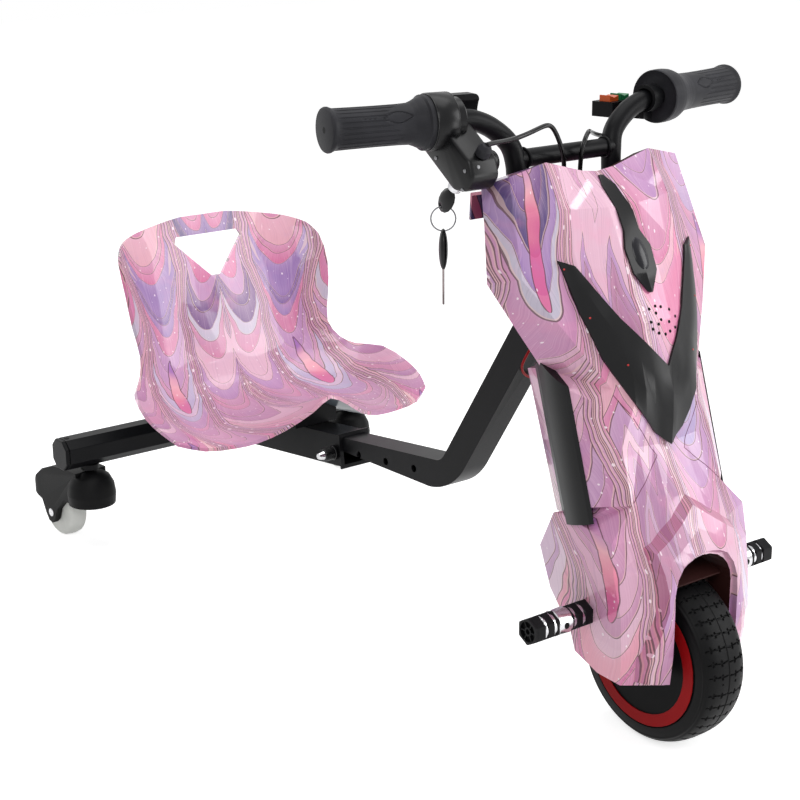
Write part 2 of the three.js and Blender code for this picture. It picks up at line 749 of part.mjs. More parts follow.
// Everything above the underside of the seat, lowered by the clearance, for cutting its supports.
function aboveSeat() {
  const under = offsetLattice(seatLattice(), -seatThickness);
  const lift = seatHeight;
  const lowered = under.map((row) => row.map(([x, y, z]) => [x, y, z - clearance]));
  const raised = under.map((row) => row.map(([x, y, z]) => [x, y, z + lift]));
  return solidOf(shellOf(raised, lowered));
}

const bracketHalfWidth = 34;
const bracketLength = 44;
const bracketWall = 4;
const seatBoltRadius = 3;
const seatBoltHeadRadius = 6.5;
const seatBoltHeadHeight = 3;

function seatBracket(name, x) {
  const bottom = alongBeamHeight(x) + socketTop / Math.cos(rise);
  const below = block([-beamBendX, beamBendX], [-seatWidth, seatWidth], [-beamBendX, socketTop + clearance])
    .rotateY(-rise).translate(0, 0, beamHeightAtRear);
  const tall = block([x, x + bracketLength], [-bracketHalfWidth, bracketHalfWidth], [bottom, bottom + seatHeight / 2]);
  const inside = block([x - cutOverrun, x + bracketLength + cutOverrun],
    [-bracketHalfWidth + bracketWall, bracketHalfWidth - bracketWall], [0, bottom + bracketWall]);
  const solid = solidOf(tall).subtract(aboveSeat()).subtract(solidOf(inside));
  return cutPiece(name, solid.subtract(solidOf(below)), 'blackSteel');
}

function alongBeamHeight(x) {
  return beamHeightAtRear + x * Math.tan(rise);
}


// Body panels

function bodyPoint([x, y, z]) {
  return [
    wheelbase - bodySetback + x * bodyDepth,
    y * bodyHalfWidth,
    bodySill + z * bodyHeight,
  ];
}

// Front fairing: shares of the body block, row by row from the top lip down to the sill
const fairingShares = [
  [[0.08, 0.00, 0.952], [0.08, 0.15, 0.957], [0.06, 0.50, 0.983], [0.01, 0.75, 0.966], [-0.01, 0.78, 0.959], [-0.03, 0.80, 0.952]],
  [[0.17, 0.00, 0.968], [0.18, 0.15, 0.974], [0.18, 0.48, 1.000], [0.16, 0.78, 0.980], [0.08, 0.81, 0.968], [0.00, 0.84, 0.959]],
  [[0.36, 0.00, 0.903], [0.37, 0.14, 0.911], [0.32, 0.50, 0.916], [0.24, 0.82, 0.899], [0.16, 0.86, 0.892], [0.08, 0.90, 0.885]],
  [[0.51, 0.00, 0.799], [0.51, 0.14, 0.804], [0.44, 0.49, 0.806], [0.34, 0.87, 0.795], [0.27, 0.94, 0.790], [0.19, 1.00, 0.782]],
  [[0.64, 0.00, 0.696], [0.63, 0.13, 0.698], [0.58, 0.35, 0.698], [0.48, 0.66, 0.696], [0.36, 0.75, 0.696], [0.25, 0.83, 0.696]],
  [[0.71, 0.00, 0.611], [0.70, 0.13, 0.607], [0.68, 0.27, 0.596], [0.63, 0.41, 0.581], [0.48, 0.54, 0.594], [0.30, 0.65, 0.611]],
  [[0.72, 0.00, 0.564], [0.71, 0.14, 0.562], [0.70, 0.28, 0.555], [0.65, 0.41, 0.546], [0.58, 0.54, 0.561], [0.50, 0.63, 0.579]],
  [[0.73, 0.00, 0.458], [0.73, 0.14, 0.462], [0.73, 0.28, 0.466], [0.72, 0.42, 0.471], [0.65, 0.54, 0.471], [0.58, 0.63, 0.471]],
  [[0.86, 0.00, 0.365], [0.85, 0.16, 0.365], [0.83, 0.30, 0.365], [0.81, 0.43, 0.363], [0.74, 0.54, 0.361], [0.67, 0.63, 0.358]],
  [[0.93, 0.00, 0.305], [0.93, 0.18, 0.302], [0.90, 0.36, 0.294], [0.83, 0.64, 0.302], [0.61, 0.645, 0.317], [0.40, 0.63, 0.317]],
  [[1.00, 0.00, 0.253], [1.00, 0.19, 0.246], [0.97, 0.35, 0.242], [0.86, 0.65, 0.233], [0.59, 0.655, 0.238], [0.31, 0.64, 0.238]],
  [[1.00, 0.00, 0.156], [1.00, 0.19, 0.156], [1.00, 0.37, 0.156], [0.90, 0.63, 0.156], [0.63, 0.627, 0.169], [0.36, 0.60, 0.149]],
  [[1.00, 0.00, 0.080], [1.00, 0.19, 0.080], [1.00, 0.37, 0.080], [0.91, 0.63, 0.086], [0.69, 0.61, 0.086], [0.51, 0.59, 0.074]],
  [[0.99, 0.00, 0.000], [0.99, 0.19, 0.000], [0.99, 0.32, 0.000], [0.88, 0.59, 0.007], [0.70, 0.57, 0.006], [0.54, 0.58, 0.032]],
];

// Back cover of the column, from its top lip down, from the rear centre round to the side bars
const backCoverShares = [
  [[0.14, 0.00, 0.579], [0.15, 0.24, 0.581], [0.17, 0.38, 0.588], [0.20, 0.46, 0.594]],
  [[-0.03, 0.00, 0.570], [0.04, 0.45, 0.575], [0.13, 0.50, 0.585], [0.23, 0.54, 0.594]],
  [[0.08, 0.00, 0.425], [0.16, 0.45, 0.436], [0.27, 0.52, 0.449], [0.36, 0.57, 0.456]],
  [[0.19, 0.00, 0.287], [0.28, 0.45, 0.296], [0.38, 0.52, 0.304], [0.48, 0.56, 0.305]],
];

const fairingLattice = mirrored(fairingShares.map((row) => row.map(bodyPoint)));

// The room of the wheel arch, or with a thickness the same room and the wall around it.
function archSolid(extra) {
  const shape = new THREE.Shape();
  const half = archHalfWidth + extra;
  shape.moveTo(-half, 0);
  shape.lineTo(-half, archStraightHeight);
  shape.absellipse(0, archStraightHeight, half, archTopHeight - archStraightHeight + extra,
    2 * quarterTurn, 0, true);
  shape.lineTo(half, 0);
  return solidOf(frontPlate(shape, tyreRadius, wheelbase));
}

// Where the foot peg crosses the body, from the front axle
function pegPlace() {
  return [
    wheelbase + pegAhead * Math.cos(rake) - pegUp * Math.sin(rake),
    tyreRadius + pegAhead * Math.sin(rake) + pegUp * Math.cos(rake),
  ];
}

function fairingSolid() {
  const solid = solidOf(shellOf(fairingLattice, offsetLattice(fairingLattice, panelThickness)));
  const [pegX, pegZ] = pegPlace();
  const holes = rodAcross(pegStudRadius + 1.5 * runningGap, -pegTipY, pegTipY, 16).translate(pegX, 0, pegZ);
  const behind = fairingLattice.map((row) => row.map(([x, y, z]) => [x - tyreRadius, y, z]));
  const rim = archSolid(archRimThickness).intersect(solidOf(shellOf(fairingLattice, behind)))
    .subtract(solidOf(block([0, wheelbase + archRimStart], [-bodyHalfWidth, bodyHalfWidth], [0, archTopHeight * 2])));
  return largestOf(solid.add(rim).subtract(archSolid(0)).subtract(solidOf(holes)));
}

const fairing = fairingSolid();

function backCoverSolid() {
  const lattice = mirrored(backCoverShares.map((row) => row.map(bodyPoint)));
  return solidOf(shellOf(lattice, offsetLattice(lattice, -panelThickness)));
}

const backCover = backCoverSolid();

// Height of the fairing's front surface above a (y, z) place, found on the lattice's own facets.
function frontX(y, z) {
  let best = null;
  for (let i = 0; i < fairingLattice.length - 1; i += 1) {
    for (let j = 0; j < fairingLattice[0].length - 1; j += 1) {
      const facets = facetsOf(i, j, fairingLattice[0].length);
      for (const [p, q, r] of facets.map((facet) => facet.map(([row, column]) => fairingLattice[row][column]))) {
        const area = (q[1] - p[1]) * (r[2] - p[2]) - (r[1] - p[1]) * (q[2] - p[2]);
        const s = ((y - p[1]) * (r[2] - p[2]) - (r[1] - p[1]) * (z - p[2])) / area;
        const t = ((q[1] - p[1]) * (z - p[2]) - (y - p[1]) * (q[2] - p[2])) / area;
        const slack = weldDistance;
        if (s < -slack || t < -slack || s + t > 1 + slack) continue;
        const x = p[0] + s * (q[0] - p[0]) + t * (r[0] - p[0]);
        if (best === null || x > best) best = x;
      }
    }
  }
  return best;
}

// A raised trim on the front of the fairing, from a strip of (y, z) share stations between two edges.
function trimPiece(name, stations, across, finish) {
  const lattice = (lift, crown) => stations.map(([edgeA, edgeB]) => Array.from({ length: across + 1 }, (_, k) => {
    const share = k / across;
    const y = bodyHalfWidth * (edgeA[0] + share * (edgeB[0] - edgeA[0]));
    const z = bodySill + bodyHeight * (edgeA[1] + share * (edgeB[1] - edgeA[1]));
    return [frontX(y, z) + lift + crown * Math.sin(share * Math.PI), y, z];
  }));
  const slab = solidOf(shellOf(lattice(trimProud * 0.6, trimProud * 0.4), lattice(-trimSunk, 0)));
  return cutPiece(name, clearOf(slab, fairing), finish);
}

function between(stations, times) {
  const out = [];
  for (let i = 0; i < stations.length - 1; i += 1) {
    for (let k = 0; k < times; k += 1) {
      const share = k / times;
      out.push(stations[i].map((edge, e) => edge.map((v, n) => v + share * (stations[i + 1][e][n] - v))));
    }
  }
  out.push(stations[stations.length - 1]);
  return out;
}

const bladeHalfShares = [
  [[0.00, 0.458], [0.00, 0.614]],
  [[0.13, 0.487], [0.14, 0.661]],
  [[0.29, 0.552], [0.29, 0.712]],
  [[0.45, 0.639], [0.40, 0.760]],
  [[0.55, 0.728], [0.47, 0.792]],
  [[0.62, 0.826], [0.52, 0.815]],
];

function bladeTrim() {
  const flipped = bladeHalfShares.slice(1).reverse().map((pair) => pair.map(([y, z]) => [-y, z]));
  return trimPiece('blade_trim', between([...flipped, ...bladeHalfShares], 2), 3, 'blackPlastic');
}

const spearHalfShares = [
  [0.02, 0.962], [0.06, 0.945], [0.07, 0.900], [0.07, 0.865], [0.12, 0.835], [0.11, 0.790], [0.02, 0.752],
];

function spearTrim() {
  return trimPiece('spear_trim', spearHalfShares.map(([y, z]) => [[-y, z], [y, z]]), 2, 'blackPlastic');
}

const barMiddleShare = [0.46, 0.595, 0.455];
const barLeanDegrees = 16.8;
const barTurnDegrees = 12;
const barTopSlopeDegrees = 24;
const barTopShare = [0.40, 0.6, 0.583];

function sideBarSolid() {
  const half = barWidth / 2;
  const outline = Array.from({ length: 9 }, (_, i) => {
    const angle = (i / 8) * 2 * quarterTurn;
    return [half * Math.cos(angle), barBulge * Math.sin(angle)];
  });
  const middle = bodyPoint(barMiddleShare);
  const geometry = swept(outline, barLength).translate(0, 0, -barLength / 2)
    .rotateZ(THREE.MathUtils.degToRad(barTurnDegrees))
    .rotateY(-THREE.MathUtils.degToRad(barLeanDegrees))
    .translate(...middle);
  const above = block([-barLength, barLength], [-barLength, barLength], [0, barLength])
    .rotateY(THREE.MathUtils.degToRad(barTopSlopeDegrees))
    .translate(...bodyPoint(barTopShare));
  const solid = solidOf(geometry).subtract(solidOf(above)).mirror([0, 1, 0]);
  return clearOf(clearOf(solid, fairing), backCover);
}

function sideBars() {
  const right = sideBarSolid();
  return [
    cutPiece('side_bar_right', right, 'blackPlastic'),
    cutPiece('side_bar_left', right.mirror([0, 1, 0]), 'blackPlastic'),
  ];
}

// Rubber grommet in the lid, where the cables go down
const grommetDrop = 26;
const grommetTop = bodySill + bodyHeight - grommetDrop;
const grommetHeight = 8;
const grommetSetback = 154;
const grommetX = wheelbase - grommetSetback;
const grommetHalf = 7;
const grommetRight = -24;
const grommetLeft = 18;

// Lid behind the top lip, with openings for the two risers
const lidFrontShare = [0.05, 0.949];
const lidRearShare = [-0.24, 0.925];
const lidSkirtShare = [-0.25, 0.87];
const lidHalfWidthShare = 0.66;

function topLid(risers) {
  const frontPoint = bodyPoint([lidFrontShare[0], 0, lidFrontShare[1]]);
  const rearPoint = bodyPoint([lidRearShare[0], 0, lidRearShare[1]]);
  const skirtPoint = bodyPoint([lidSkirtShare[0], 0, lidSkirtShare[1]]);
  const t = panelThickness;
  const outline = [
    [frontPoint[0], frontPoint[2]], [rearPoint[0], rearPoint[2]], [skirtPoint[0], skirtPoint[2]],
    [skirtPoint[0] + t, skirtPoint[2]], [rearPoint[0] + t, rearPoint[2] - t], [frontPoint[0], frontPoint[2] - t],
  ];
  let solid = solidOf(sidePlate(outline, 2 * lidHalfWidthShare * bodyHalfWidth));
  for (const riser of risers) solid = solid.subtract(riser);
  const room = block([grommetX - grommetHalf - clearance, grommetX + grommetHalf + clearance],
    [grommetRight - clearance, grommetLeft + clearance], [0, gripZ]);
  return cutPiece('top_lid', clearOf(solid.subtract(solidOf(room)), fairing), 'printedPlastic');
}

// Handlebar

const stemPlateBottom = upperBearingTop + clearance;
const stemPlateTop = stemPlateBottom + stemPlateThickness;
const plateX = wheelbase - stemPlateTop * Math.sin(rake);
const plateZ = tyreRadius + stemPlateTop * Math.cos(rake);
const barEndY = gripHalfSpan - gripEndWall - clearance;

// Places a piece drawn along Y, at its distance from the middle, on the swept-back end of the bar
function onBar(geometry, side) {
  return geometry.translate(0, -side * gripHalfSpan, 0).rotateZ(side * gripSweep)
    .translate(gripX, side * gripHalfSpan, gripZ);
}

function barX(y) {
  return gripX + (gripHalfSpan - y) * Math.tan(gripSweep);
}

// Centre line of the bent tube of one side, as shares of the way from the stem plate to the grip
const riserShares = [
  [0.00, 0.00, -0.04], [0.15, 0.00, 0.22], [0.30, 0.01, 0.49], [0.66, 0.10, 0.70],
  [0.92, 0.40, 0.88], [0.96, 0.74, 0.98], [1.00, 1.00, 1.00],
];
const crossbarShare = 0.53;

function riserPoints(side) {
  const reach = [barX(bendEndY) - plateX, bendEndY - riserHalfSpan, gripZ - plateZ];
  return riserShares.map(([x, y, z]) => [
    plateX + x * reach[0], side * (riserHalfSpan + y * reach[1]), plateZ + z * reach[2]]);
}

function handlebarSolid() {
  let solid = null;
  for (const side of [-1, 1]) {
    const tube = solidOf(tubeAlong(riserPoints(side), barRadius, barSides, 30));
    solid = solid ? solid.add(tube) : tube;
    const straight = [side * (bendEndY - barRadius), side * barEndY].sort((a, b) => a - b);
    solid = solid.add(solidOf(onBar(rodAcross(barRadius, ...straight, barSides), side)));
  }
  const cross = rodAcross(crossbarRadius, -riserHalfSpan, riserHalfSpan, barSides);
  const crossX = plateX + 0.3 * (barX(bendEndY) - plateX);
  solid = solid.add(solidOf(cross.translate(crossX, 0, plateZ + crossbarShare * (gripZ - plateZ))));
  const halfPlate = riserHalfSpan + 1.5 * barRadius;
  const plate = block([-stemPlateWidth / 2, stemPlateWidth / 2], [-halfPlate, halfPlate],
    [stemPlateBottom, stemPlateTop]);
  solid = solid.add(solidOf(inHead(plate)));
  const bore = rod(columnRadius + clearance, stemPlateBottom - cutOverrun, stemPlateTop + cutOverrun, 24);
  return solid.subtract(solidOf(inHead(bore)));
}

function riserRoom(side) {
  return solidOf(tubeAlong(riserPoints(side), barRadius + 2 * runningGap, barSides, 30));
}

// Steering column, fork and front wheel

const linerInner = tyreRadius + linerGap;
const linerOuter = linerInner + linerThickness;
const crownBottom = linerOuter + clearance;
const crownTop = crownBottom + crownThickness;
const forkInner = tyreWidth / 2 + forkTyreGap;
const forkOuter = forkInner + forkThickness;
const columnTop = stemPlateTop + clearance + stemNutHeight + columnTail;

function columnRoom() {
  return solidOf(inHead(rod(stemNutRadius + clearance, stemPlateTop, columnTop + clearance, 24)));
}

function steeringColumn() {
  const bottom = crownTop + clearance;
  const shoulderTop = lowerBearingBottom - clearance;
  const shoulderBottom = shoulderTop - columnShoulderHeight;
  return piece('steering_column', inHead(turned([
    [0, bottom], [columnRadius, bottom], [columnRadius, shoulderBottom], [columnShoulderRadius, shoulderBottom],
    [columnShoulderRadius, shoulderTop], [columnRadius, shoulderTop], [columnRadius, columnTop], [0, columnTop],
  ], 24)), 'blackSteel');
}

function stemNut() {
  const bottom = stemPlateTop + clearance;
  const nut = geometryOf(hexAcross(columnRadius + clearance, stemNutRadius, bottom, bottom + stemNutHeight));
  return piece('stem_nut', inHead(nut.rotateX(quarterTurn)), 'zincSteel');
}

function frontFork() {
  const outline = [
    [-forkOuter, -forkDrop], [-forkInner, -forkDrop], [-forkInner, crownBottom], [forkInner, crownBottom],
    [forkInner, -forkDrop], [forkOuter, -forkDrop], [forkOuter, crownTop], [-forkOuter, crownTop],
  ];
  let solid = solidOf(frontPlate(outline, forkWidth, -forkWidth / 2));
  const reach = forkOuter + cutOverrun;
  solid = solid.subtract(solidOf(rodAcross(axleRadius + clearance, -reach, reach, 16)));
  const studs = rodAcross(pegStudRadius + runningGap, -reach, reach, 16).translate(pegAhead, 0, pegUp);
  solid = solid.subtract(solidOf(studs));
  const mesh = cutPiece('front_fork', solid, 'blackSteel');
  mesh.rotation.y = -rake;
  return mesh;
}

function footPeg(name, side) {
  const stud = forkInner + clearance;
  const groove = pegRadius * 0.86;
  const middle = (pegInnerY + pegTipY) / 2;
  const band = (pegTipY - pegInnerY) / 12;
  const profile = [[0, stud], [pegStudRadius, stud], [pegStudRadius, pegInnerY], [pegRadius, pegInnerY]];
  for (const [from, to] of [[1.5, 2], [3.2, 3.7], [8.3, 8.8], [10, 10.5]]) {
    profile.push([pegRadius, pegInnerY + from * band], [groove, pegInnerY + from * band],
      [groove, pegInnerY + to * band], [pegRadius, pegInnerY + to * band]);
  }
  profile.push([pegRadius, pegTipY], [0, pegTipY]);
  let solid = solidOf(turnedAcross(profile, 6));
  const hole = rod(pegRadius / 4, -pegRadius - cutOverrun, pegRadius + cutOverrun, 10).translate(0, middle, 0);
  solid = solid.subtract(solidOf(hole));
  if (side < 0) solid = solid.mirror([0, 1, 0]);
  const mesh = cutPiece(name, solid, 'brightSteel');
  const [x, z] = pegPlace();
  mesh.position.set(x, 0, z);
  return mesh;
}

function axlePieces() {
  const half = forkOuter + clearance + axleNutHeight + columnTail;
  const nutStart = forkOuter + clearance;
  const pieces = [piece('hub_axle', rodAcross(axleRadius, -half, half, 16), 'zincSteel')];
  for (const [name, side] of [['axle_nut_right', -1], ['axle_nut_left', 1]]) {
    const nut = hexAcross(axleRadius + clearance, axleNutRadius, nutStart, nutStart + axleNutHeight);
    pieces.push(cutPiece(name, side < 0 ? nut.mirror([0, 1, 0]) : nut, 'zincSteel'));
  }
  return pieces;
}

const tyreHalfShares = [[0.788, 0.86], [0.84, 0.98], [0.89, 1], [0.94, 0.86], [0.98, 0.58], [1, 0.22]];

function frontWheel() {
  const upper = tyreHalfShares.map(([r, y]) => [r * tyreRadius, y * tyreWidth / 2]);
  const lower = upper.map(([r, y]) => [r, -y]);
  const tyre = turnedAcross([...lower, ...upper.reverse(), lower[0]], wheelSides);
  const hubRadius = beadRadius - 2 * clearance;
  const hubHalf = hubWidth / 2;
  const bore = axleRadius + runningGap;
  const hub = ringAcross(bore, hubRadius, -hubHalf, hubHalf, wheelSides);
  const ringStart = hubHalf + clearance;
  const pieces = [piece('tyre', tyre, 'blackRubber'), piece('hub_motor', hub, 'blackSteel')];
  for (const [name, side] of [['hub_ring_right', -1], ['hub_ring_left', 1]]) {
    const band = ringAcross(ringInnerRadius, ringOuterRadius, ringStart, ringStart + ringThickness, wheelSides);
    pieces.push(piece(name, side < 0 ? band.rotateX(2 * quarterTurn) : band, 'redPlastic'));
  }
  return pieces;
}

// Mudguard over the tyre, a part ring under the crown
function archLiner() {
  const shape = new THREE.Shape();
  const start = THREE.MathUtils.degToRad(linerStartDegrees);
  const end = start + THREE.MathUtils.degToRad(linerSpanDegrees);
  shape.absarc(0, 0, linerOuter, start, end);
  shape.absarc(0, 0, linerInner, end, start, true);
  const geometry = new THREE.ExtrudeGeometry(shape, {
    depth: 2 * (forkInner - 2 * clearance), bevelEnabled: false, curveSegments: 20 });
  geometry.rotateX(quarterTurn).translate(0, forkInner - 2 * clearance, 0);
  return piece('arch_liner', geometry, 'darkLiner');
}

const packDepth = 48;
const packHalfWidth = 44;
const packLow = 175;
const packDrop = 75;
const packHigh = headBottom - packDrop;
const speakerRadius = 18;
const speakerDepth = 14;
const speakerShare = 0.672;

function innerPieces() {
  const front = columnRadius + clearance;
  const pack = block([front, front + packDepth], [-packHalfWidth, packHalfWidth], [packLow, packHigh]);
  const z = bodySill + speakerShare * bodyHeight;
  const speakerFront = frontX(0, z + speakerRadius) - panelThickness - 2 * clearance;
  const cone = [
    [0, -speakerDepth], [speakerRadius * 0.5, -speakerDepth], [speakerRadius * 0.6, -speakerDepth / 2],
    [speakerRadius, -speakerDepth / 4], [speakerRadius, 0], [0, 0],
  ];
  const speaker = turned(cone, 20).rotateY(quarterTurn).translate(speakerFront, 0, z);
  return [
    piece('battery_pack', inHead(pack), 'bluePack'),
    piece('speaker', speaker, 'blackPlastic'),
  ];
}

// Grips and controls on the bar

function gripProfile(innerEnd, inner) {
  const bore = barRadius + runningGap;
  return [
    [0, gripHalfSpan], [gripFlangeRadius * 0.9, gripHalfSpan],
    [gripFlangeRadius, gripHalfSpan - gripEndWall / 3], [gripFlangeRadius, gripHalfSpan - gripEndWall],
    [gripRadius, gripHalfSpan - 2 * gripEndWall], [gripWaistRadius, (gripHalfSpan + innerEnd) / 2],
    ...inner,
    [bore, gripHalfSpan - gripEndWall], [0, gripHalfSpan - gripEndWall],
  ];
}

function throttleGrip() {
  const bore = barRadius + runningGap;
  const profile = gripProfile(throttleInnerEnd, [
    [gripRadius, throttleInnerEnd + gripCupDepth], [gripRadius * 1.2, throttleInnerEnd + gripCupDepth / 2],
    [gripCollarRadius, throttleInnerEnd + gripCupDepth / 3],
    [gripCollarRadius, throttleInnerEnd], [bore, throttleInnerEnd],
  ]);
  return piece('throttle_grip', onBar(turnedAcross(profile, 20).rotateX(2 * quarterTurn), -1), 'blackRubber');
}

function leftGrip() {
  const bore = barRadius + runningGap;
  const wall = gripCupRadius * 0.12;
  const profile = gripProfile(leftInnerEnd, [
    [gripRadius, leftInnerEnd + 2.6 * gripCupDepth], [gripRadius * 1.15, leftInnerEnd + 1.9 * gripCupDepth],
    [gripCupRadius * 0.97, leftInnerEnd + 1.1 * gripCupDepth],
    [gripCupRadius, leftInnerEnd + gripCupDepth / 2], [gripCupRadius, leftInnerEnd],
    [gripCupRadius - wall, leftInnerEnd], [gripCupRadius - wall, leftInnerEnd + gripCupDepth / 2],
    [bore, leftInnerEnd + gripCupDepth * 0.8],
  ]);
  return piece('left_grip', onBar(turnedAcross(profile, 20), 1), 'blackRubber');
}

const housingOuterY = throttleInnerEnd - runningGap;
const housingInnerY = housingOuterY - housingWidth;
const housingNeckEnd = housingInnerY - housingNeckWidth;
const lockLean = THREE.MathUtils.degToRad(lockBodyLeanDegrees);
const lockMiddleY = -(lockBodyOuterY - lockBodyWidth / 2);
const lockRootX = barX(lockBodyOuterY) - 0.28 * lockBodyDepth;
const lockRootZ = gripZ - 0.2 * lockBodyDepth;

// Places a piece drawn down -Z with its rider's side on -X on the lock body that leans forward under the bar
function onLockBody(geometry) {
  return geometry.rotateY(-lockLean).translate(lockRootX, lockMiddleY, lockRootZ);
}

const keyLean = THREE.MathUtils.degToRad(keyLeanDegrees);
const barrelSpot = new THREE.Vector3(-lockBodyDepth / 2, 0, -0.72 * lockBodyLength)
  .applyAxisAngle(new THREE.Vector3(0, 1, 0), -lockLean)
  .add(new THREE.Vector3(lockRootX, lockMiddleY - 0.2 * lockBodyWidth, lockRootZ));
const [barrelX, barrelY, barrelZ] = barrelSpot.toArray();

// Places a piece drawn along -Z at the lock, leaning back towards the rider
function atLock(geometry) {
  return geometry.rotateY(keyLean).translate(barrelX, barrelY, barrelZ);
}

const bossRadius = 13;
const bossLength = 14;

function throttleHousing() {
  const clampRing = rodAcross(housingRadius, -housingOuterY, -housingInnerY, 28);
  const neck = rodAcross(housingNeckRadius, -housingOuterY, -housingNeckEnd, 24);
  let solid = solidOf(onBar(clampRing, -1)).add(solidOf(onBar(neck, -1)));
  const [half, length] = [lockBodyDepth / 2, lockBodyLength];
  const outline = [
    [-0.8 * half, 0], [-half, -0.25 * length], [-half, -0.86 * length], [-0.5 * half, -length],
    [0.45 * half, -length], [half, -0.8 * length], [half, -0.2 * length], [0.6 * half, 0],
  ];
  solid = solid.add(solidOf(onLockBody(sidePlate(outline, lockBodyWidth))));
  const bossStart = lockBodyWidth / 2 - cutOverrun;
  const boss = rodAcross(bossRadius, bossStart, lockBodyWidth / 2 + bossLength, 20).translate(0, 0, -0.66 * length);
  solid = solid.add(solidOf(onLockBody(boss)));
  const bore = rodAcross(barRadius + clearance, -gripHalfSpan, 0, 24);
  solid = solid.subtract(solidOf(onBar(bore, -1)));
  const barrelRoom = rod(lockBarrelRadius + clearance, -2 * lockBarrelLength, lockBarrelLength, 16);
  solid = solid.subtract(solidOf(atLock(barrelRoom)));
  solid = solid.subtract(solidOf(tubeAlong(riserPoints(-1), barRadius + runningGap, barSides, 30)));
  return cutPiece('throttle_housing', solid, 'blackPlastic');
}

function displayBox() {
  const back = -housingRadius - 0.75 * displayDepth;
  const middleY = -housingOuterY + 0.66 * displayWidth;
  const outline = roundedOutline(displayWidth / 2, displayHeight / 2, displayHeight / 4);
  const middleZ = 0.42 * displayHeight;
  const slab = onBar(frontPlate(outline, displayDepth, back).translate(0, middleY, middleZ), -1);
  const notch = onBar(rodAcross(housingRadius + clearance, -gripHalfSpan, 0, 28), -1);
  return cutPiece('display_box', solidOf(slab).subtract(solidOf(notch)), 'blackPlastic');
}

const glandRadius = 8;
const glandLength = 13;
const glandAlong = -0.76 * lockBodyLength;
const glandAside = 2;

function onGland(x) {
  return new THREE.Vector3(lockBodyDepth / 2 + x, glandAside, glandAlong)
    .applyAxisAngle(new THREE.Vector3(0, 1, 0), -lockLean)
    .add(new THREE.Vector3(lockRootX, lockMiddleY, lockRootZ)).toArray();
}

function cableGland() {
  const form = turned([
    [0, 0], [glandRadius, 0], [glandRadius, glandLength * 0.6], [glandRadius * 0.6, glandLength],
    [0, glandLength],
  ], 12).rotateY(quarterTurn);
  return piece('cable_gland', onLockBody(form.translate(lockBodyDepth / 2 + clearance, glandAside, glandAlong)),
    'blackRubber');
}

function cableGrommet() {
  return piece('cable_grommet', block([grommetX - grommetHalf, grommetX + grommetHalf],
    [grommetRight, grommetLeft], [grommetTop - grommetHeight, grommetTop]), 'blackRubber');
}

// The two cables run from the controls over the crossbar and down through the grommet.
// Each point is measured from the middle of the grommet's top, in riser half spans.
const throttleCableShares = [
  [0.216, -1.655, 0.655], [0.129, -1.309, 0.705], [0.115, -1.022, 0.763], [0.144, -0.835, 0.835],
  [0.173, -0.719, 0.892], [0.144, -0.633, 0.886], [0.115, -0.532, 0.763], [0.115, -0.432, 0.597],
  [0.101, -0.317, 0.403], [0.043, -0.245, 0.216], [0, -0.23, 0.072], [0, -0.23, 0.014],
];
const switchCableShares = [
  [-1.007, 1.986, 0.647], [-0.993, 1.971, 0.547], [-0.748, 1.784, 0.446], [-0.59, 1.439, 0.374],
  [-0.532, 1.122, 0.403], [-0.504, 0.892, 0.489], [-0.403, 0.662, 0.576], [-0.201, 0.475, 0.64],
  [-0.014, 0.317, 0.662], [0.065, 0.173, 0.619], [0.058, 0.108, 0.512], [0.036, 0.101, 0.345],
  [0, 0.115, 0.158], [0, 0.115, 0.072], [0, 0.115, 0.014],
];

function fromGrommet([x, y, z]) {
  return [grommetX + x * riserHalfSpan, y * riserHalfSpan, grommetTop + z * riserHalfSpan];
}

function cables() {
  const mouth = [glandLength + 3 * clearance, glandLength + 3 * cableRadius].map(onGland);
  const throttleRoute = [...mouth, ...throttleCableShares.map(fromGrommet)];
  return [
    piece('throttle_cable', tubeAlong(throttleRoute, cableRadius, 8, 32), 'blackRubber'),
    piece('switch_cable', tubeAlong(switchCableShares.map(fromGrommet), cableRadius, 8, 32), 'blackRubber'),
  ];
}

// The red lead leaves the front face of the climbing beam and loops back into it.
// Shares: along the climb in head tube distances, across in beam sizes, out in lead diameters.
const powerLeadRadius = 1.5;
const powerLeadShares = [
  [0.8, -0.2, 0.65], [0.8, -0.25, 1.3], [0.78, -0.42, 1.5], [0.74, -0.58, 1.5], [0.69, -0.64, 1.5],
  [0.64, -0.65, 1.5], [0.603, -0.61, 1.5], [0.574, -0.45, 1.5], [0.55, -0.22, 1.5], [0.535, 0, 1.5],
  [0.53, 0.1, 1.3], [0.53, 0.14, 0.65],
];

function powerLeadTube() {
  const route = powerLeadShares.map(([along, across, out]) => {
    const reach = along * headLength;
    const off = beamSize / 2 + out * 2 * powerLeadRadius;
    return [
      beamBendX + reach * Math.cos(climb) + off * Math.sin(climb),
      across * beamSize,
      alongBeamHeight(beamBendX) + reach * Math.sin(climb) - off * Math.cos(climb),
    ];
  });
  return tubeAlong(route, powerLeadRadius, 8, 24);
}

const switchInnerY = 107;
const switchBack = -62;
const switchTop = -6;
const rockerPitch = 21;
const rockerFirst = 13;
const switchClampStart = 119;
const switchClampEnd = 135;
const switchClampWall = 4;

function rockerMiddle(index) {
  return switchInnerY + rockerFirst + index * rockerPitch;
}

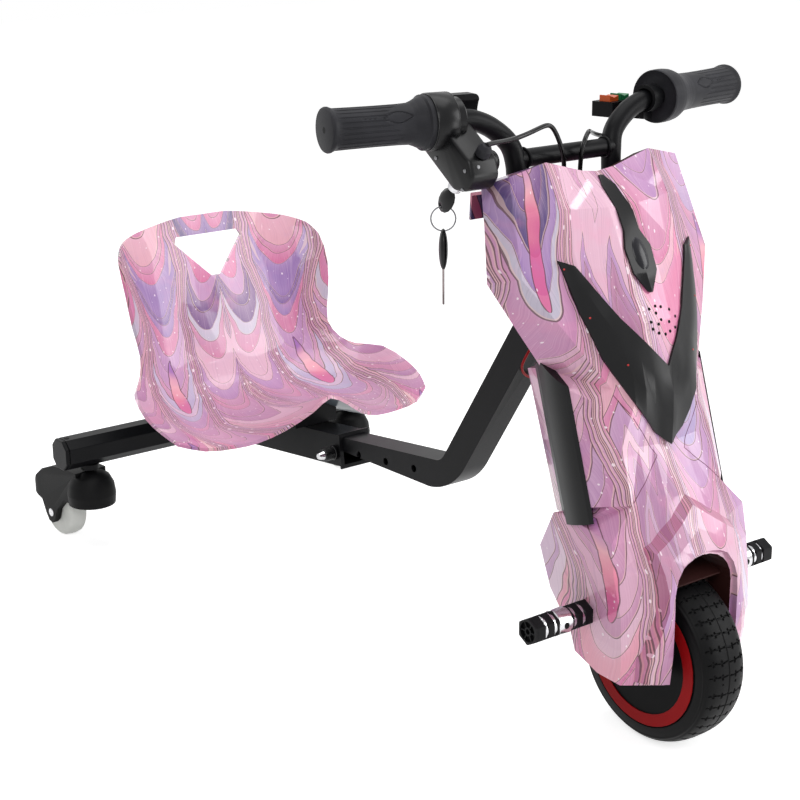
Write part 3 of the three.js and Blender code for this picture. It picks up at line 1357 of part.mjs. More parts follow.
function switchBox() {
  const front = switchBack + switchBoxDepth;
  const slab = block([switchBack, front], [switchInnerY, switchInnerY + switchBoxLength],
    [switchTop - switchBoxHeight, switchTop]);
  const arm = block([front - cutOverrun, 0], [switchClampStart, switchClampEnd],
    [switchTop - switchBoxHeight, switchTop - switchBoxHeight / 2]);
  const clamp = rodAcross(barRadius + switchClampWall, switchClampStart, switchClampEnd, 20);
  let solid = solidOf(onBar(slab, 1)).add(solidOf(onBar(arm, 1))).add(solidOf(onBar(clamp, 1)));
  solid = solid.subtract(solidOf(onBar(rodAcross(barRadius + clearance, 0, gripHalfSpan, 24), 1)));
  solid = solid.subtract(solidOf(tubeAlong(riserPoints(1), barRadius + 2 * clearance, barSides, 30)));
  const middleX = switchBack + switchBoxDepth / 2;
  const wellHalf = rockerWidth / 2 + runningGap;
  for (const index of [0, 1]) {
    const well = rodAcross(rockerRadius + runningGap, -wellHalf, wellHalf, 20);
    const placed = well.rotateZ(quarterTurn).translate(middleX, rockerMiddle(index), switchTop);
    solid = solid.subtract(solidOf(onBar(placed, 1)));
  }
  return cutPiece('switch_box', solid, 'blackPlastic');
}

function rocker(name, index, finish) {
  const arc = Array.from({ length: 9 }, (_, i) => {
    const angle = -2 * quarterTurn + (i / 8) * 2 * quarterTurn;
    return [rockerRadius * Math.cos(angle), rockerRadius * Math.sin(angle)];
  });
  const outline = [
    ...arc, [rockerRadius, 0.7 * rockerRadius], [0, 0.5 * rockerRadius], [-rockerRadius, 0.85 * rockerRadius],
  ];
  const middleX = switchBack + switchBoxDepth / 2;
  const geometry = frontPlate(outline, rockerWidth, -rockerWidth / 2);
  return piece(name, onBar(geometry.translate(middleX, rockerMiddle(index), switchTop), 1), finish);
}

// Lock barrel, the key in it, the ring through its bow and the spare key on the ring

function bowSolid(centreZ, along) {
  const bow = new THREE.SphereGeometry(1, 14, 10).scale(along === 'x' ? keyBowWidth / 2 : keyBowThickness / 2,
    along === 'x' ? keyBowThickness / 2 : keyBowWidth / 2, keyBowLength / 2 + keyHoleRadius);
  return solidOf(bow.translate(0, 0, centreZ));
}

const bowCentre = -(lockBarrelLength + keyBowLength / 2 + 2 * keyHoleRadius);
const bowHoleAt = bowCentre - 0.32 * keyBowLength;

const ringAway = new THREE.Vector3(0.793, -0.609, 0);
const bowHoleSpot = new THREE.Vector3(0, 0, bowHoleAt)
  .applyAxisAngle(new THREE.Vector3(0, 1, 0), keyLean)
  .add(new THREE.Vector3(barrelX, barrelY, barrelZ));
const ringSpot = bowHoleSpot.clone().add(new THREE.Vector3(0, 0, -keyRingRadius - ringSag));
const spareHoleSpot = ringSpot.clone().add(new THREE.Vector3(0, 0, -keyRingRadius - spareSag));

function ringHole(spot) {
  const tangent = new THREE.Vector3(ringAway.y, -ringAway.x, 0);
  const turn = Math.atan2(tangent.y, tangent.x);
  return solidOf(rod(keyHoleRadius, -2 * keyBowWidth, 2 * keyBowWidth, 12)
    .rotateY(quarterTurn).rotateZ(turn).translate(spot.x, spot.y, spot.z));
}

function lockBarrel() {
  const slot = [keyBladeWidth / 2 + clearance, keyBladeThickness / 2 + clearance];
  let solid = solidOf(rod(lockBarrelRadius, -lockBarrelLength, lockBarrelLength * 0.8, 16));
  solid = solid.subtract(solidOf(block([-slot[0], slot[0]], [-slot[1], slot[1]],
    [-lockBarrelLength - cutOverrun, lockBarrelLength * 0.5])));
  const mesh = cutPiece('lock_barrel', solid, 'brightSteel');
  mesh.geometry = atLock(mesh.geometry);
  return mesh;
}

function ignitionKey() {
  const blade = solidOf(block([-keyBladeWidth / 2, keyBladeWidth / 2], [-keyBladeThickness / 2, keyBladeThickness / 2],
    [bowCentre, lockBarrelLength * 0.4]));
  const key = geometryOf(bowSolid(bowCentre, 'x').add(blade));
  return cutPiece('ignition_key', solidOf(atLock(key)).subtract(ringHole(bowHoleSpot)), 'blackPlastic');
}

function keyRing() {
  const wire = new THREE.TorusGeometry(keyRingRadius, keyRingWire, 6, 28).rotateY(quarterTurn)
    .rotateZ(Math.atan2(ringAway.y, ringAway.x));
  return piece('key_ring', wire.translate(ringSpot.x, ringSpot.y, ringSpot.z), 'brightSteel');
}

function spareKey() {
  const bowHalf = keyBowLength * 0.86;
  const bow = new THREE.SphereGeometry(1, 14, 10).scale(keyBowWidth / 2, keyBowThickness * 0.62, bowHalf);
  const top = spareHoleSpot.z + 1.5 * keyHoleRadius;
  const bladeLength = 1.4 * keyBowLength;
  const blade = block([-keyBladeWidth / 2, keyBladeWidth / 2], [-keyBladeThickness / 2, keyBladeThickness / 2],
    [-bowHalf - bladeLength, -bowHalf * 0.8]);
  const key = solidOf(bow).add(solidOf(blade));
  const placed = geometryOf(key).rotateZ(Math.atan2(ringAway.y, ringAway.x))
    .translate(spareHoleSpot.x, spareHoleSpot.y, top - bowHalf);
  return cutPiece('spare_key', solidOf(placed).subtract(ringHole(spareHoleSpot)), 'blackPlastic');
}

// Assembly

const scooter = new THREE.Group();
scooter.add(mainBeam(), ...headPieces());

const carriage = new THREE.Group();
carriage.position.z = beamHeightAtRear;
carriage.rotation.y = -rise;
carriage.add(adjustSocket(), ...lockBoltPieces());
scooter.add(carriage);

const crossTubeGroup = new THREE.Group();
crossTubeGroup.position.z = crossTubeHeight;
crossTubeGroup.add(crossTube(), endCap('end_cap_right', -1), endCap('end_cap_left', 1));
scooter.add(crossTubeGroup);

const bracketFrontX = 195;
const bracketRearX = 70;
scooter.add(seatShell(), seatBracket('seat_bracket_front', bracketFrontX), seatBracket('seat_bracket_rear', bracketRearX));
scooter.add(...caster('right', -casterY, casterToeRightDegrees), ...caster('left', casterY, -casterToeLeftDegrees));

const wheelGroup = new THREE.Group();
wheelGroup.position.set(wheelbase, 0, tyreRadius);
wheelGroup.add(...frontWheel(), ...axlePieces(), frontFork(), archLiner());
scooter.add(wheelGroup);

scooter.add(steeringColumn(), stemNut(), cutPiece('handlebar', handlebarSolid(), 'blackSteel'));
const coverByLead = clearOf(backCover, solidOf(powerLeadTube()));
scooter.add(cutPiece('front_fairing', fairing, 'printedPlastic'), cutPiece('back_cover', coverByLead, 'printedPlastic'));
scooter.add(topLid([riserRoom(-1), riserRoom(1), columnRoom()]));
scooter.add(bladeTrim(), spearTrim(), ...sideBars());
scooter.add(footPeg('foot_peg_right', -1), footPeg('foot_peg_left', 1), ...innerPieces());
scooter.add(throttleGrip(), leftGrip(), throttleHousing(), displayBox(), cableGland(), cableGrommet());
scooter.add(...cables(), piece('power_lead', powerLeadTube(), 'redPlastic'), switchBox());
scooter.add(rocker('rocker_orange', 0, 'orangePlastic'), rocker('rocker_green', 1, 'greenPlastic'));
scooter.add(lockBarrel(), ignitionKey(), keyRing(), spareKey());

// The origin sits under the middle of the whole length
const whole = new THREE.Box3().setFromObject(scooter, true);
scooter.position.x = -(whole.min.x + whole.max.x) / 2;

export default scooter;
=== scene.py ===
import bmesh
import bpy
import json
import math
import numpy as np
from mathutils import Matrix, Vector
from mathutils.bvhtree import BVHTree


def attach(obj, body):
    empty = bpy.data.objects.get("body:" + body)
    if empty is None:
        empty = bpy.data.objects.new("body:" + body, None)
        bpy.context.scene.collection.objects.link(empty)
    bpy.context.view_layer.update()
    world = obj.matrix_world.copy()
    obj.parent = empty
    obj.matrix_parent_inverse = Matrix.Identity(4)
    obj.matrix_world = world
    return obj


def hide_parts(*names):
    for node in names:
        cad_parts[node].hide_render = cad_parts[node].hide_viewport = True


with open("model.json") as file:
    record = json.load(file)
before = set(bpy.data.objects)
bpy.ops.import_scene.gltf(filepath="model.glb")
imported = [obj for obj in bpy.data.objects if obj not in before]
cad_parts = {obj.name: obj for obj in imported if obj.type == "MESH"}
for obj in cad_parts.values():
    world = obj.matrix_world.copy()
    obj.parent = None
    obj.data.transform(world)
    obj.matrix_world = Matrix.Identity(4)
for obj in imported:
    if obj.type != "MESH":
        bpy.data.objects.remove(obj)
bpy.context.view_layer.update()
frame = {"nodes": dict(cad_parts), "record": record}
nodes = frame["nodes"]
record = frame["record"]
body_of = {node: body for body, members in record["behaviour"]["bodies"].items() for node in members}

# The model is drawn about the middle of its box; the rear cross tube lies this far behind it.
REAR_TUBE_X = -0.43576
TYRE_RADIUS = 0.099
FRONT_AXLE = Vector((REAR_TUBE_X + 0.896, 0, TYRE_RADIUS))
# The steering axis points up and back.
STEERING = Vector((-0.33381, 0, 0.94264))
SWEEP = math.radians(11.2)
GRIP_END = 0.291
GRIP_X = REAR_TUBE_X + 0.689
GRIP_Z = 0.673
FULL_TURN = 2 * math.pi


# Small node helpers

class Number:
    """A number in a material's node tree, so that sums of nodes read as sums."""

    def __init__(self, shades, socket):
        self.shades = shades
        self.socket = socket

    def __add__(self, other):
        return self.shades.math("ADD", self, other)

    def __sub__(self, other):
        return self.shades.math("SUBTRACT", self, other)

    def __rsub__(self, other):
        return self.shades.math("SUBTRACT", other, self)

    def __mul__(self, other):
        return self.shades.math("MULTIPLY", self, other)

    def __truediv__(self, other):
        return self.shades.math("DIVIDE", self, other)

    def __gt__(self, other):
        return self.shades.math("GREATER_THAN", self, other)

    def __lt__(self, other):
        return self.shades.math("LESS_THAN", self, other)


class Shades:
    """A material's node tree, with short calls for the nodes that the finishes share."""

    def __init__(self, name):
        self.material = bpy.data.materials.new(name)
        self.material.use_nodes = True
        self.tree = self.material.node_tree
        self.shader = self.tree.nodes["Principled BSDF"]

    def node(self, kind, **settings):
        made = self.tree.nodes.new(kind)
        for key, value in settings.items():
            setattr(made, key, value)
        return made

    def feed(self, socket, value):
        if isinstance(value, Number):
            value = value.socket
        if isinstance(value, bpy.types.NodeSocket):
            self.tree.links.new(value, socket)
        else:
            socket.default_value = value

    def math(self, operation, *values, clamp=False):
        made = self.node("ShaderNodeMath", operation=operation, use_clamp=clamp)
        for socket, value in zip(made.inputs, values):
            self.feed(socket, value)
        return Number(self, made.outputs[0])

    def line(self, value, slope, start):
        """The value times the slope, plus the start."""
        return self.math("MULTIPLY_ADD", value, slope, start)

    def above(self, value, floor):
        """How far the value is above the floor, or 0 where it is below."""
        return self.math("SUBTRACT", value, floor, clamp=True)

    def either(self, test, a, b):
        """The first value where the test is 1 and the second where it is 0."""
        return test * a + (1.0 - test) * b

    def parts(self, vector):
        """The three numbers of a vector or a colour."""
        made = self.node("ShaderNodeSeparateXYZ")
        self.feed(made.inputs[0], vector)
        return [Number(self, output) for output in made.outputs]

    def pair(self, x, y):
        made = self.node("ShaderNodeCombineXYZ")
        self.feed(made.inputs[0], x)
        self.feed(made.inputs[1], y)
        return made.outputs[0]

    def chance(self, x, y):
        """A number from 0 to 1 that two whole numbers pick."""
        made = self.node("ShaderNodeTexWhiteNoise", noise_dimensions="2D")
        self.feed(made.inputs["Vector"], self.pair(x, y))
        return Number(self, made.outputs["Value"])

    def mix(self, share, a, b, blend="MIX"):
        made = self.node("ShaderNodeMix", data_type="RGBA", blend_type=blend)
        self.feed(made.inputs["Factor"], share)
        for socket, value in ((made.inputs[6], a), (made.inputs[7], b)):
            self.feed(socket, (*value, 1) if isinstance(value, tuple) else value)
        return made.outputs[2]

    def noise(self, place, scale, detail=3.0, roughness=0.5, output=0, dimensions="3D"):
        made = self.node("ShaderNodeTexNoise", noise_dimensions=dimensions)
        self.feed(made.inputs["W" if dimensions == "1D" else "Vector"], place)
        for name, value in (("Scale", scale), ("Detail", detail), ("Roughness", roughness)):
            made.inputs[name].default_value = value
        return Number(self, made.outputs[output])

    def ramp(self, value, stops, interpolation="LINEAR"):
        made = self.node("ShaderNodeValToRGB")
        made.color_ramp.interpolation = interpolation
        while len(made.color_ramp.elements) < len(stops):
            made.color_ramp.elements.new(0.5)
        for element, (place, color) in zip(made.color_ramp.elements, stops):
            element.position = place
            element.color = (*color, 1)
        self.feed(made.inputs[0], value)
        return made.outputs[0]

    def palette(self, value, colors):
        """One of the colours, each for an equal stretch of the value."""
        return self.ramp(value, [(i / len(colors), color) for i, color in enumerate(colors)], "CONSTANT")

    def place(self):
        return self.node("ShaderNodeTexCoord").outputs["Object"]

    def bump(self, height, strength, distance):
        """Relief on the finish from a height, with the distance in metres."""
        made = self.node("ShaderNodeBump")
        for name, value in (("Height", height), ("Strength", strength), ("Distance", distance)):
            self.feed(made.inputs[name], value)
        self.tree.links.new(made.outputs[0], self.shader.inputs["Normal"])

    def set(self, **inputs):
        """Feeds the shader's inputs and returns the finished material."""
        for key, value in inputs.items():
            self.feed(self.shader.inputs[key.replace("_", " ")], value)
        return self.material


def srgb(*values):
    """A colour given in display values from 0 to 255, as linear light."""
    shares = [value / 255 for value in values]
    return tuple(v / 12.92 if v <= 0.04045 else ((v + 0.055) / 1.055) ** 2.4 for v in shares)


def paler(color, share):
    return tuple(v * share for v in color)


# Finishes

def powder_coat():
    s = Shades("powder coat black")
    place = s.place()
    cloud = s.noise(place, scale=14)
    s.bump(s.noise(place, scale=900, detail=2), strength=0.25, distance=0.0002)
    return s.set(Base_Color=s.ramp(cloud, [(0.3, srgb(13, 13, 15)), (0.7, srgb(20, 20, 22))]),
                 Roughness=s.line(cloud, 0.12, 0.30), Specular_IOR_Level=0.1)


def moulded_black(name, rough=0.38, low=(10, 10, 12), high=(17, 17, 19), grain_scale=1500,
                  grain_depth=0.0002, shine=0.1):
    s = Shades(name)
    place = s.place()
    cloud = s.noise(place, scale=22)
    s.bump(s.noise(place, scale=grain_scale, detail=2), strength=0.3, distance=grain_depth)
    return s.set(Base_Color=s.ramp(cloud, [(0.3, srgb(*low)), (0.7, srgb(*high))]),
                 Roughness=s.line(cloud, 0.14, rough - 0.07), Specular_IOR_Level=shine)


def plated(name, color, rough):
    s = Shades(name)
    brush = s.noise(s.place(), scale=240, detail=4, roughness=0.6)
    s.bump(brush, strength=0.12, distance=0.0001)
    return s.set(Base_Color=s.ramp(brush, [(0.3, paler(color, 0.75)), (0.7, color)]), Metallic=1.0,
                 Roughness=s.line(brush, 0.12, rough - 0.06))


def plain_plastic(name, color, rough=0.35, coat=0.0):
    s = Shades(name)
    place = s.place()
    cloud = s.noise(place, scale=35)
    s.bump(s.noise(place, scale=700, detail=2), strength=0.15, distance=0.0001)
    return s.set(Base_Color=s.ramp(cloud, [(0.3, paler(color, 0.88)), (0.7, color)]),
                 Roughness=s.line(cloud, 0.1, rough - 0.05), Coat_Weight=coat, Coat_Roughness=0.08,
                 Specular_IOR_Level=0.12)


def lamp_glow():
    s = Shades("lamp red")
    cloud = s.noise(s.place(), scale=900, detail=2)
    tint = s.ramp(cloud, [(0.3, (0.28, 0.006, 0.005)), (0.7, (0.5, 0.015, 0.012))])
    return s.set(Base_Color=tint, Roughness=0.3, Emission_Color=tint, Emission_Strength=0.35)


# The print: columns of inks that hang in loops or teeth, each between two strips of fine strands

# The width of a column and the height of a band of ink, in metres
COLUMN = 0.078
ROW = 0.0270
# The share of a column's width that its loops fill, how steep they hang, and how many rows a tooth hangs down
LOOP_SHARE = 0.80
LOOP_POWER = 2.3
TOOTH_DROP = 2.2
STRANDS = 12.5
# The rows from one long drop to the next in a column
ROUND_ROWS = 12.0
# The draws from which a column has teeth, and from which one with loops has drops
POINTED_FROM = 0.64
DROP_FROM = 0.22
# Where a drop starts in its round and how long it is, in shares of the round
DROP_START = 0.30
DROP_LENGTH = 0.36
LINE_HALF_WIDTH = 0.00036
GILT_WIDTH = 0.0013
CLOSEST_LINES = 0.0026
STAR_SCALE = 70.0

LINE = srgb(96, 58, 70)
GOLD = srgb(238, 200, 190)
PALE_EDGE = srgb(236, 196, 222)
PALE_STREAK = srgb(248, 214, 232)
DARK_STREAK = srgb(140, 84, 140)
WARM_CLOUD = srgb(240, 150, 186)
COOL_CLOUD = srgb(168, 136, 194)
STAR = srgb(255, 238, 246)
# Painted shade: the magenta that multiplies the print on the arch panel's sloping edge, which faces away from
# the light
PAINTED_SLOPE_SHADE = srgb(206, 96, 152)
SKIN_TONES = [
    srgb(202, 140, 176), srgb(192, 130, 172), srgb(212, 150, 182), srgb(182, 118, 164), srgb(220, 166, 192),
    srgb(206, 130, 166), srgb(194, 144, 188), srgb(214, 138, 174), srgb(174, 108, 156), srgb(226, 180, 200),
    srgb(198, 132, 176), srgb(208, 118, 160), srgb(184, 134, 184), srgb(218, 156, 178),
]
HOT_TONES = [srgb(222, 96, 150), srgb(240, 150, 168), srgb(228, 118, 160), srgb(244, 184, 190),
             srgb(208, 84, 146)]
DEEP_TONES = [srgb(72, 54, 116), srgb(120, 90, 156), srgb(56, 50, 100), srgb(150, 116, 178),
              srgb(92, 86, 156), srgb(196, 190, 208), srgb(104, 62, 128)]
COOL_TONES = [srgb(176, 196, 226), srgb(206, 196, 224), srgb(158, 160, 208), srgb(232, 220, 236),
              srgb(176, 150, 204)]
DROP_TONES = [(0.32, srgb(222, 92, 150)), (0.50, srgb(238, 134, 160)), (0.66, srgb(246, 178, 186)),
              (0.86, srgb(160, 104, 180))]
# Each family of inks, with the draws that it takes and how strong it lies over the common tones
FAMILIES = [(0.88, 1.01, DEEP_TONES, 1.0), (0.78, 0.88, HOT_TONES, 0.7), (0.68, 0.78, COOL_TONES, 0.6)]


def combed_print(name, deep_from, deep_side, mirrored=False, painted_shade=0.0):
    """Combed ink, with the deep inks above a height and past a distance to the right, or to both sides, and
    painted shade over all of it where asked.
    """
    s = Shades(name)
    chart = s.node("ShaderNodeUVMap", uv_map="print").outputs[0]
    x, y = s.parts(chart)[:2]
    if mirrored:
        x = s.math("ABSOLUTE", x)
        chart = s.pair(x, y)
    wide = s.parts(s.noise(chart, scale=3.6, detail=1, roughness=0.4, output=1))
    fine = s.parts(s.noise(chart, scale=15.0, detail=2, output=1))
    x = s.line(wide[0], 0.15, s.line(fine[0], 0.016, x))
    y = s.line(wide[1], 0.16, s.line(fine[1], 0.014, y))

    # Columns, and how far the ink hangs down in each
    columns = x / COLUMN
    number = s.math("FLOOR", columns)
    off = s.math("ABSOLUTE", s.line(s.math("FRACT", columns), 2.0, -1.0))
    inner = off / LOOP_SHARE
    lot = [s.chance(number, seed) for seed in (0.37, 4.71, 9.13)]
    pointed = lot[1] > POINTED_FROM
    depth = s.line(lot[0], 1.9, 1.3)
    loop = s.math("POWER", inner, LOOP_POWER) * depth
    steepness = LOOP_POWER * ROW / (LOOP_SHARE / 2 * COLUMN)
    loop_slope = s.math("POWER", inner, LOOP_POWER - 1) * depth * steepness
    teeth = s.math("PINGPONG", inner * 1.5, 0.75) * TOOTH_DROP
    slope = s.either(pointed, TOOTH_DROP, loop_slope)
    stretch = s.math("SQRT", s.line(slope, slope, 1.0))

    # Bands of ink down a column, and strands beside it
    level = s.line(lot[2], ROUND_ROWS, y / ROW)
    rows = level - s.either(pointed, teeth, loop)
    rows = s.line(s.noise(rows, scale=0.6, detail=1, dimensions="1D"), 1.8, rows)
    strip = off > LOOP_SHARE
    strands = (off - LOOP_SHARE) * STRANDS
    band = s.either(strip, s.line(s.math("FLOOR", strands), 3.7, 101.0), s.math("FLOOR", rows))
    within = s.either(strip, s.math("FRACT", strands), s.math("FRACT", rows))
    width = s.either(strip, COLUMN / 2 / STRANDS, s.math("DIVIDE", ROW, stretch))

    # Inks
    pick = s.chance(s.line(number, 7.31, 0.5), band)
    family = s.chance(s.line(number, 3.17, 0.5), s.math("FLOOR", band / 3.0))
    height = (band - lot[2] * ROUND_ROWS) * ROW
    beside = (number + 0.5) * (COLUMN if mirrored else -COLUMN)
    deep = (height > deep_from) * (beside > deep_side)
    feather = s.chance(s.line(number, 5.3, 0.5), band + 57.0)
    family = s.math("MAXIMUM", family, deep * s.line(feather, 0.22, 0.84))
    color = s.palette(pick, SKIN_TONES)
    for low, high, colors, share in FAMILIES:
        inside = (family > low) * (family < high) * (1.0 - strip)
        if colors is DEEP_TONES:
            inside = inside * s.line(deep, 0.65, 0.35)
        color = s.mix(inside * share, color, s.palette(pick, colors))

    # Streaks along the comb's way
    color = s.mix(within * 0.26, color, PALE_EDGE)
    run = s.either(strip, y, columns * COLUMN)
    streak = s.noise(s.pair((rows + strands) * 5.0, run * 60.0), scale=1.0, roughness=0.6)
    color = s.mix(s.above(streak, 0.5) * 1.2, color, PALE_STREAK)
    color = s.mix(s.above(0.46, streak) * 1.4, color, DARK_STREAK)

    # A long drop down the middle of some columns
    along = s.math("DIVIDE", s.math("FRACT", level / ROUND_ROWS) - DROP_START, DROP_LENGTH, clamp=True)
    drop_half = s.math("SQRT", along) * ((1.0 - along) * 2.6) * s.line(lot[0], 0.16, 0.20)
    drop = drop_half - inner
    has_drop = (lot[1] < POINTED_FROM) * (lot[1] > DROP_FROM)
    in_drop = (drop > 0.0) * has_drop
    color = s.mix(in_drop * 0.85, color, s.ramp(along + (fine[1] - 0.5) * 0.5, DROP_TONES))
    rim = (s.math("ABSOLUTE", drop) < 0.022) * has_drop * (drop_half > 0.02)

    # Clouds, then gilt and brown lines
    cloud = s.noise(chart, scale=24.0, roughness=0.55)
    color = s.mix(s.above(cloud, 0.55) * 1.5, color, WARM_CLOUD)
    color = s.mix(s.above(0.42, cloud) * 1.6, color, COOL_CLOUD)
    outside = 1.0 - in_drop
    color = s.mix((within * width < GILT_WIDTH) * outside * 0.5, color, GOLD)
    near = s.math("MINIMUM", within, 1.0 - within) * width
    thread = (near < s.line(fine[2], 0.0007, 0.00012)) * (width > CLOSEST_LINES)
    color = s.mix(thread * outside * 0.85, color, LINE)
    border = s.math("MINIMUM", s.math("ABSOLUTE", off - LOOP_SHARE), 1.0 - off) * (COLUMN / 2)
    color = s.mix(s.math("MAXIMUM", border < LINE_HALF_WIDTH, rim) * 0.85, color, LINE)

    # Small white specks
    stars = s.node("ShaderNodeTexVoronoi", voronoi_dimensions="2D")
    s.feed(stars.inputs["Vector"], s.pair(x * 1.6, y))
    s.feed(stars.inputs["Scale"], STAR_SCALE)
    reach = s.math("POWER", s.parts(stars.outputs["Color"])[0], 4.0) * s.line(strip, 0.08, 0.12)
    color = s.mix((Number(s, stars.outputs["Distance"]) < reach) * 0.8, color, STAR)
    # Painted shade: the whole print darkened towards magenta where asked
    if painted_shade:
        color = s.mix(painted_shade, color, PAINTED_SLOPE_SHADE, "MULTIPLY")
    s.bump(s.noise(s.place(), scale=45, detail=2), strength=0.04, distance=0.0006)
    return s.set(Base_Color=color, Roughness=0.3, Specular_IOR_Level=0.3, Coat_Weight=0.55,
                 Coat_Roughness=0.03)


black_coat = powder_coat()
lamp_red = lamp_glow()

# Moulded blacks: roughness, darkest and lightest tone, scale and depth of the grain, and shine
black_plastic = moulded_black("moulded black plastic")
gloss_black = moulded_black("gloss black", 0.2, (10, 10, 12), (16, 16, 18), 2400, 0.00003, 0.3)
lens_black = moulded_black("smoked lens", 0.22, (16, 16, 22), (22, 22, 30), 2400, 0.00001, 0.3)
peg_black = moulded_black("peg black", 0.3, (16, 16, 18), (24, 24, 26), 2000, 0.0001)
trim_black = moulded_black("smooth trim black", 0.3, (7, 7, 9), (12, 12, 14), 2400, 0.00003, 0.24)
hood_black = moulded_black("caster hood black", 0.5, (11, 11, 12), (18, 18, 19), 1100, 0.0003)
rubber_black = moulded_black("grip rubber", 0.46, (38, 38, 41), (52, 52, 56), 1800, 0.0002)
tyre_black = moulded_black("tyre rubber", 0.44, (6, 6, 7), (12, 12, 13), 1400, 0.0002)
motor_black = moulded_black("wheel cover black", 0.45, (8, 8, 9), (13, 13, 14), 2400, 0.0001, 0.06)

# Bare and plated metals: colour as linear light, and roughness
chrome = plated("chrome plate", (0.66, 0.66, 0.68), 0.12)
zinc = plated("zinc plate", (0.46, 0.47, 0.49), 0.34)
screw_grey = plated("screw grey", (0.22, 0.22, 0.23), 0.4)
key_steel = plated("key steel", (0.30, 0.25, 0.25), 0.3)
ring_steel = plated("split ring steel", (0.20, 0.20, 0.21), 0.25)

# Plain plastics: colour, roughness and how much clear coat
# Painted shade: a flat black for holes and recess floors, where there is only shadow
hole_shade_black = plain_plastic("painted shade black", srgb(6, 6, 7), 0.6)
# Painted shadow: the dark line that marks the gap along the front panel's seams
painted_seam_shadow = plain_plastic("seam shadow", srgb(112, 60, 84), 0.5)
ring_red = plain_plastic("ring red", srgb(150, 8, 14), 0.5)
nylon = plain_plastic("white nylon", srgb(240, 241, 236), 0.4, 0.1)
switch_orange = plain_plastic("switch orange", srgb(214, 92, 40), 0.3, 0.3)
switch_green = plain_plastic("switch green", srgb(30, 120, 72), 0.3, 0.3)
liner_brown = plain_plastic("arch liner", srgb(52, 26, 24), 0.6)
underside = plain_plastic("seat underside", srgb(112, 122, 132), 0.35, 0.3)
sleeve_blue = plain_plastic("battery sleeve", srgb(30, 70, 130), 0.3)

printed = combed_print("combed print", deep_from=0.53, deep_side=0.03)
# Painted shade: a darkened copy of the print for the arch panel's sloping edge
slope_print_with_painted_shade = combed_print("combed print with painted shade on the slope", deep_from=0.53, deep_side=0.03, painted_shade=0.6)
seat_print = combed_print("folded combed print", deep_from=0.345, deep_side=0.0, mirrored=True)


# Pieces

def linked(name, data):
    """A new object in the scene."""
    made = bpy.data.objects.new(name, data)
    bpy.context.scene.collection.objects.link(made)
    return made


def settle(piece, name, node, finish=None, hides=True):
    """Gives a piece its name, body, slot and material, and hides the CAD node that it stands for."""
    piece.name = name
    piece.data.name = name
    if finish is not None:
        piece.data.materials.clear()
        piece.data.materials.append(finish)
    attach(piece, body_of[node])
    if hides:
        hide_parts(node)


def merged_copy(node, flat_angle=0.6):
    """A CAD node's mesh with its loose triangles joined and its flat faces whole."""
    bm = bmesh.new()
    bm.from_mesh(nodes[node].data)
    bmesh.ops.remove_doubles(bm, verts=bm.verts, dist=2e-5)
    if flat_angle:
        bmesh.ops.dissolve_limit(bm, angle_limit=math.radians(flat_angle), verts=bm.verts, edges=bm.edges)
    return bm


def as_object(bm, name):
    mesh = bpy.data.meshes.new(name)
    bm.to_mesh(mesh)
    bm.free()
    return linked(name, mesh)


def smooth_by_angle(piece, degrees):
    piece.data.polygons.foreach_set("use_smooth", [True] * len(piece.data.polygons))
    piece.data.set_sharp_from_angle(angle=math.radians(degrees))


def rounded(piece, width, segments=3, degrees=30):
    bevel = piece.modifiers.new("round edges", "BEVEL")
    bevel.width = width
    bevel.segments = segments
    bevel.limit_method = "ANGLE"
    bevel.angle_limit = math.radians(degrees)
    bevel.use_clamp_overlap = True
    bevel.harden_normals = True


def painted(piece, finish, degrees=None):
    """Adds a finish to a piece, and smooths the piece where an angle is given."""
    piece.data.materials.append(finish)
    if degrees:
        smooth_by_angle(piece, degrees)
    return piece


def dressed(node, name, finish, edge):
    """A CAD node's own shape with softened edges and a real finish."""
    piece = as_object(merged_copy(node), name)
    smooth_by_angle(piece, 30)
    if edge:
        rounded(piece, edge, segments=2)
    settle(piece, name, node, finish)


def on_both_sides(node, name, finish, edge):
    return [(f"{node}_{side}", f"{name}_{side}", finish, edge) for side in ("right", "left")]


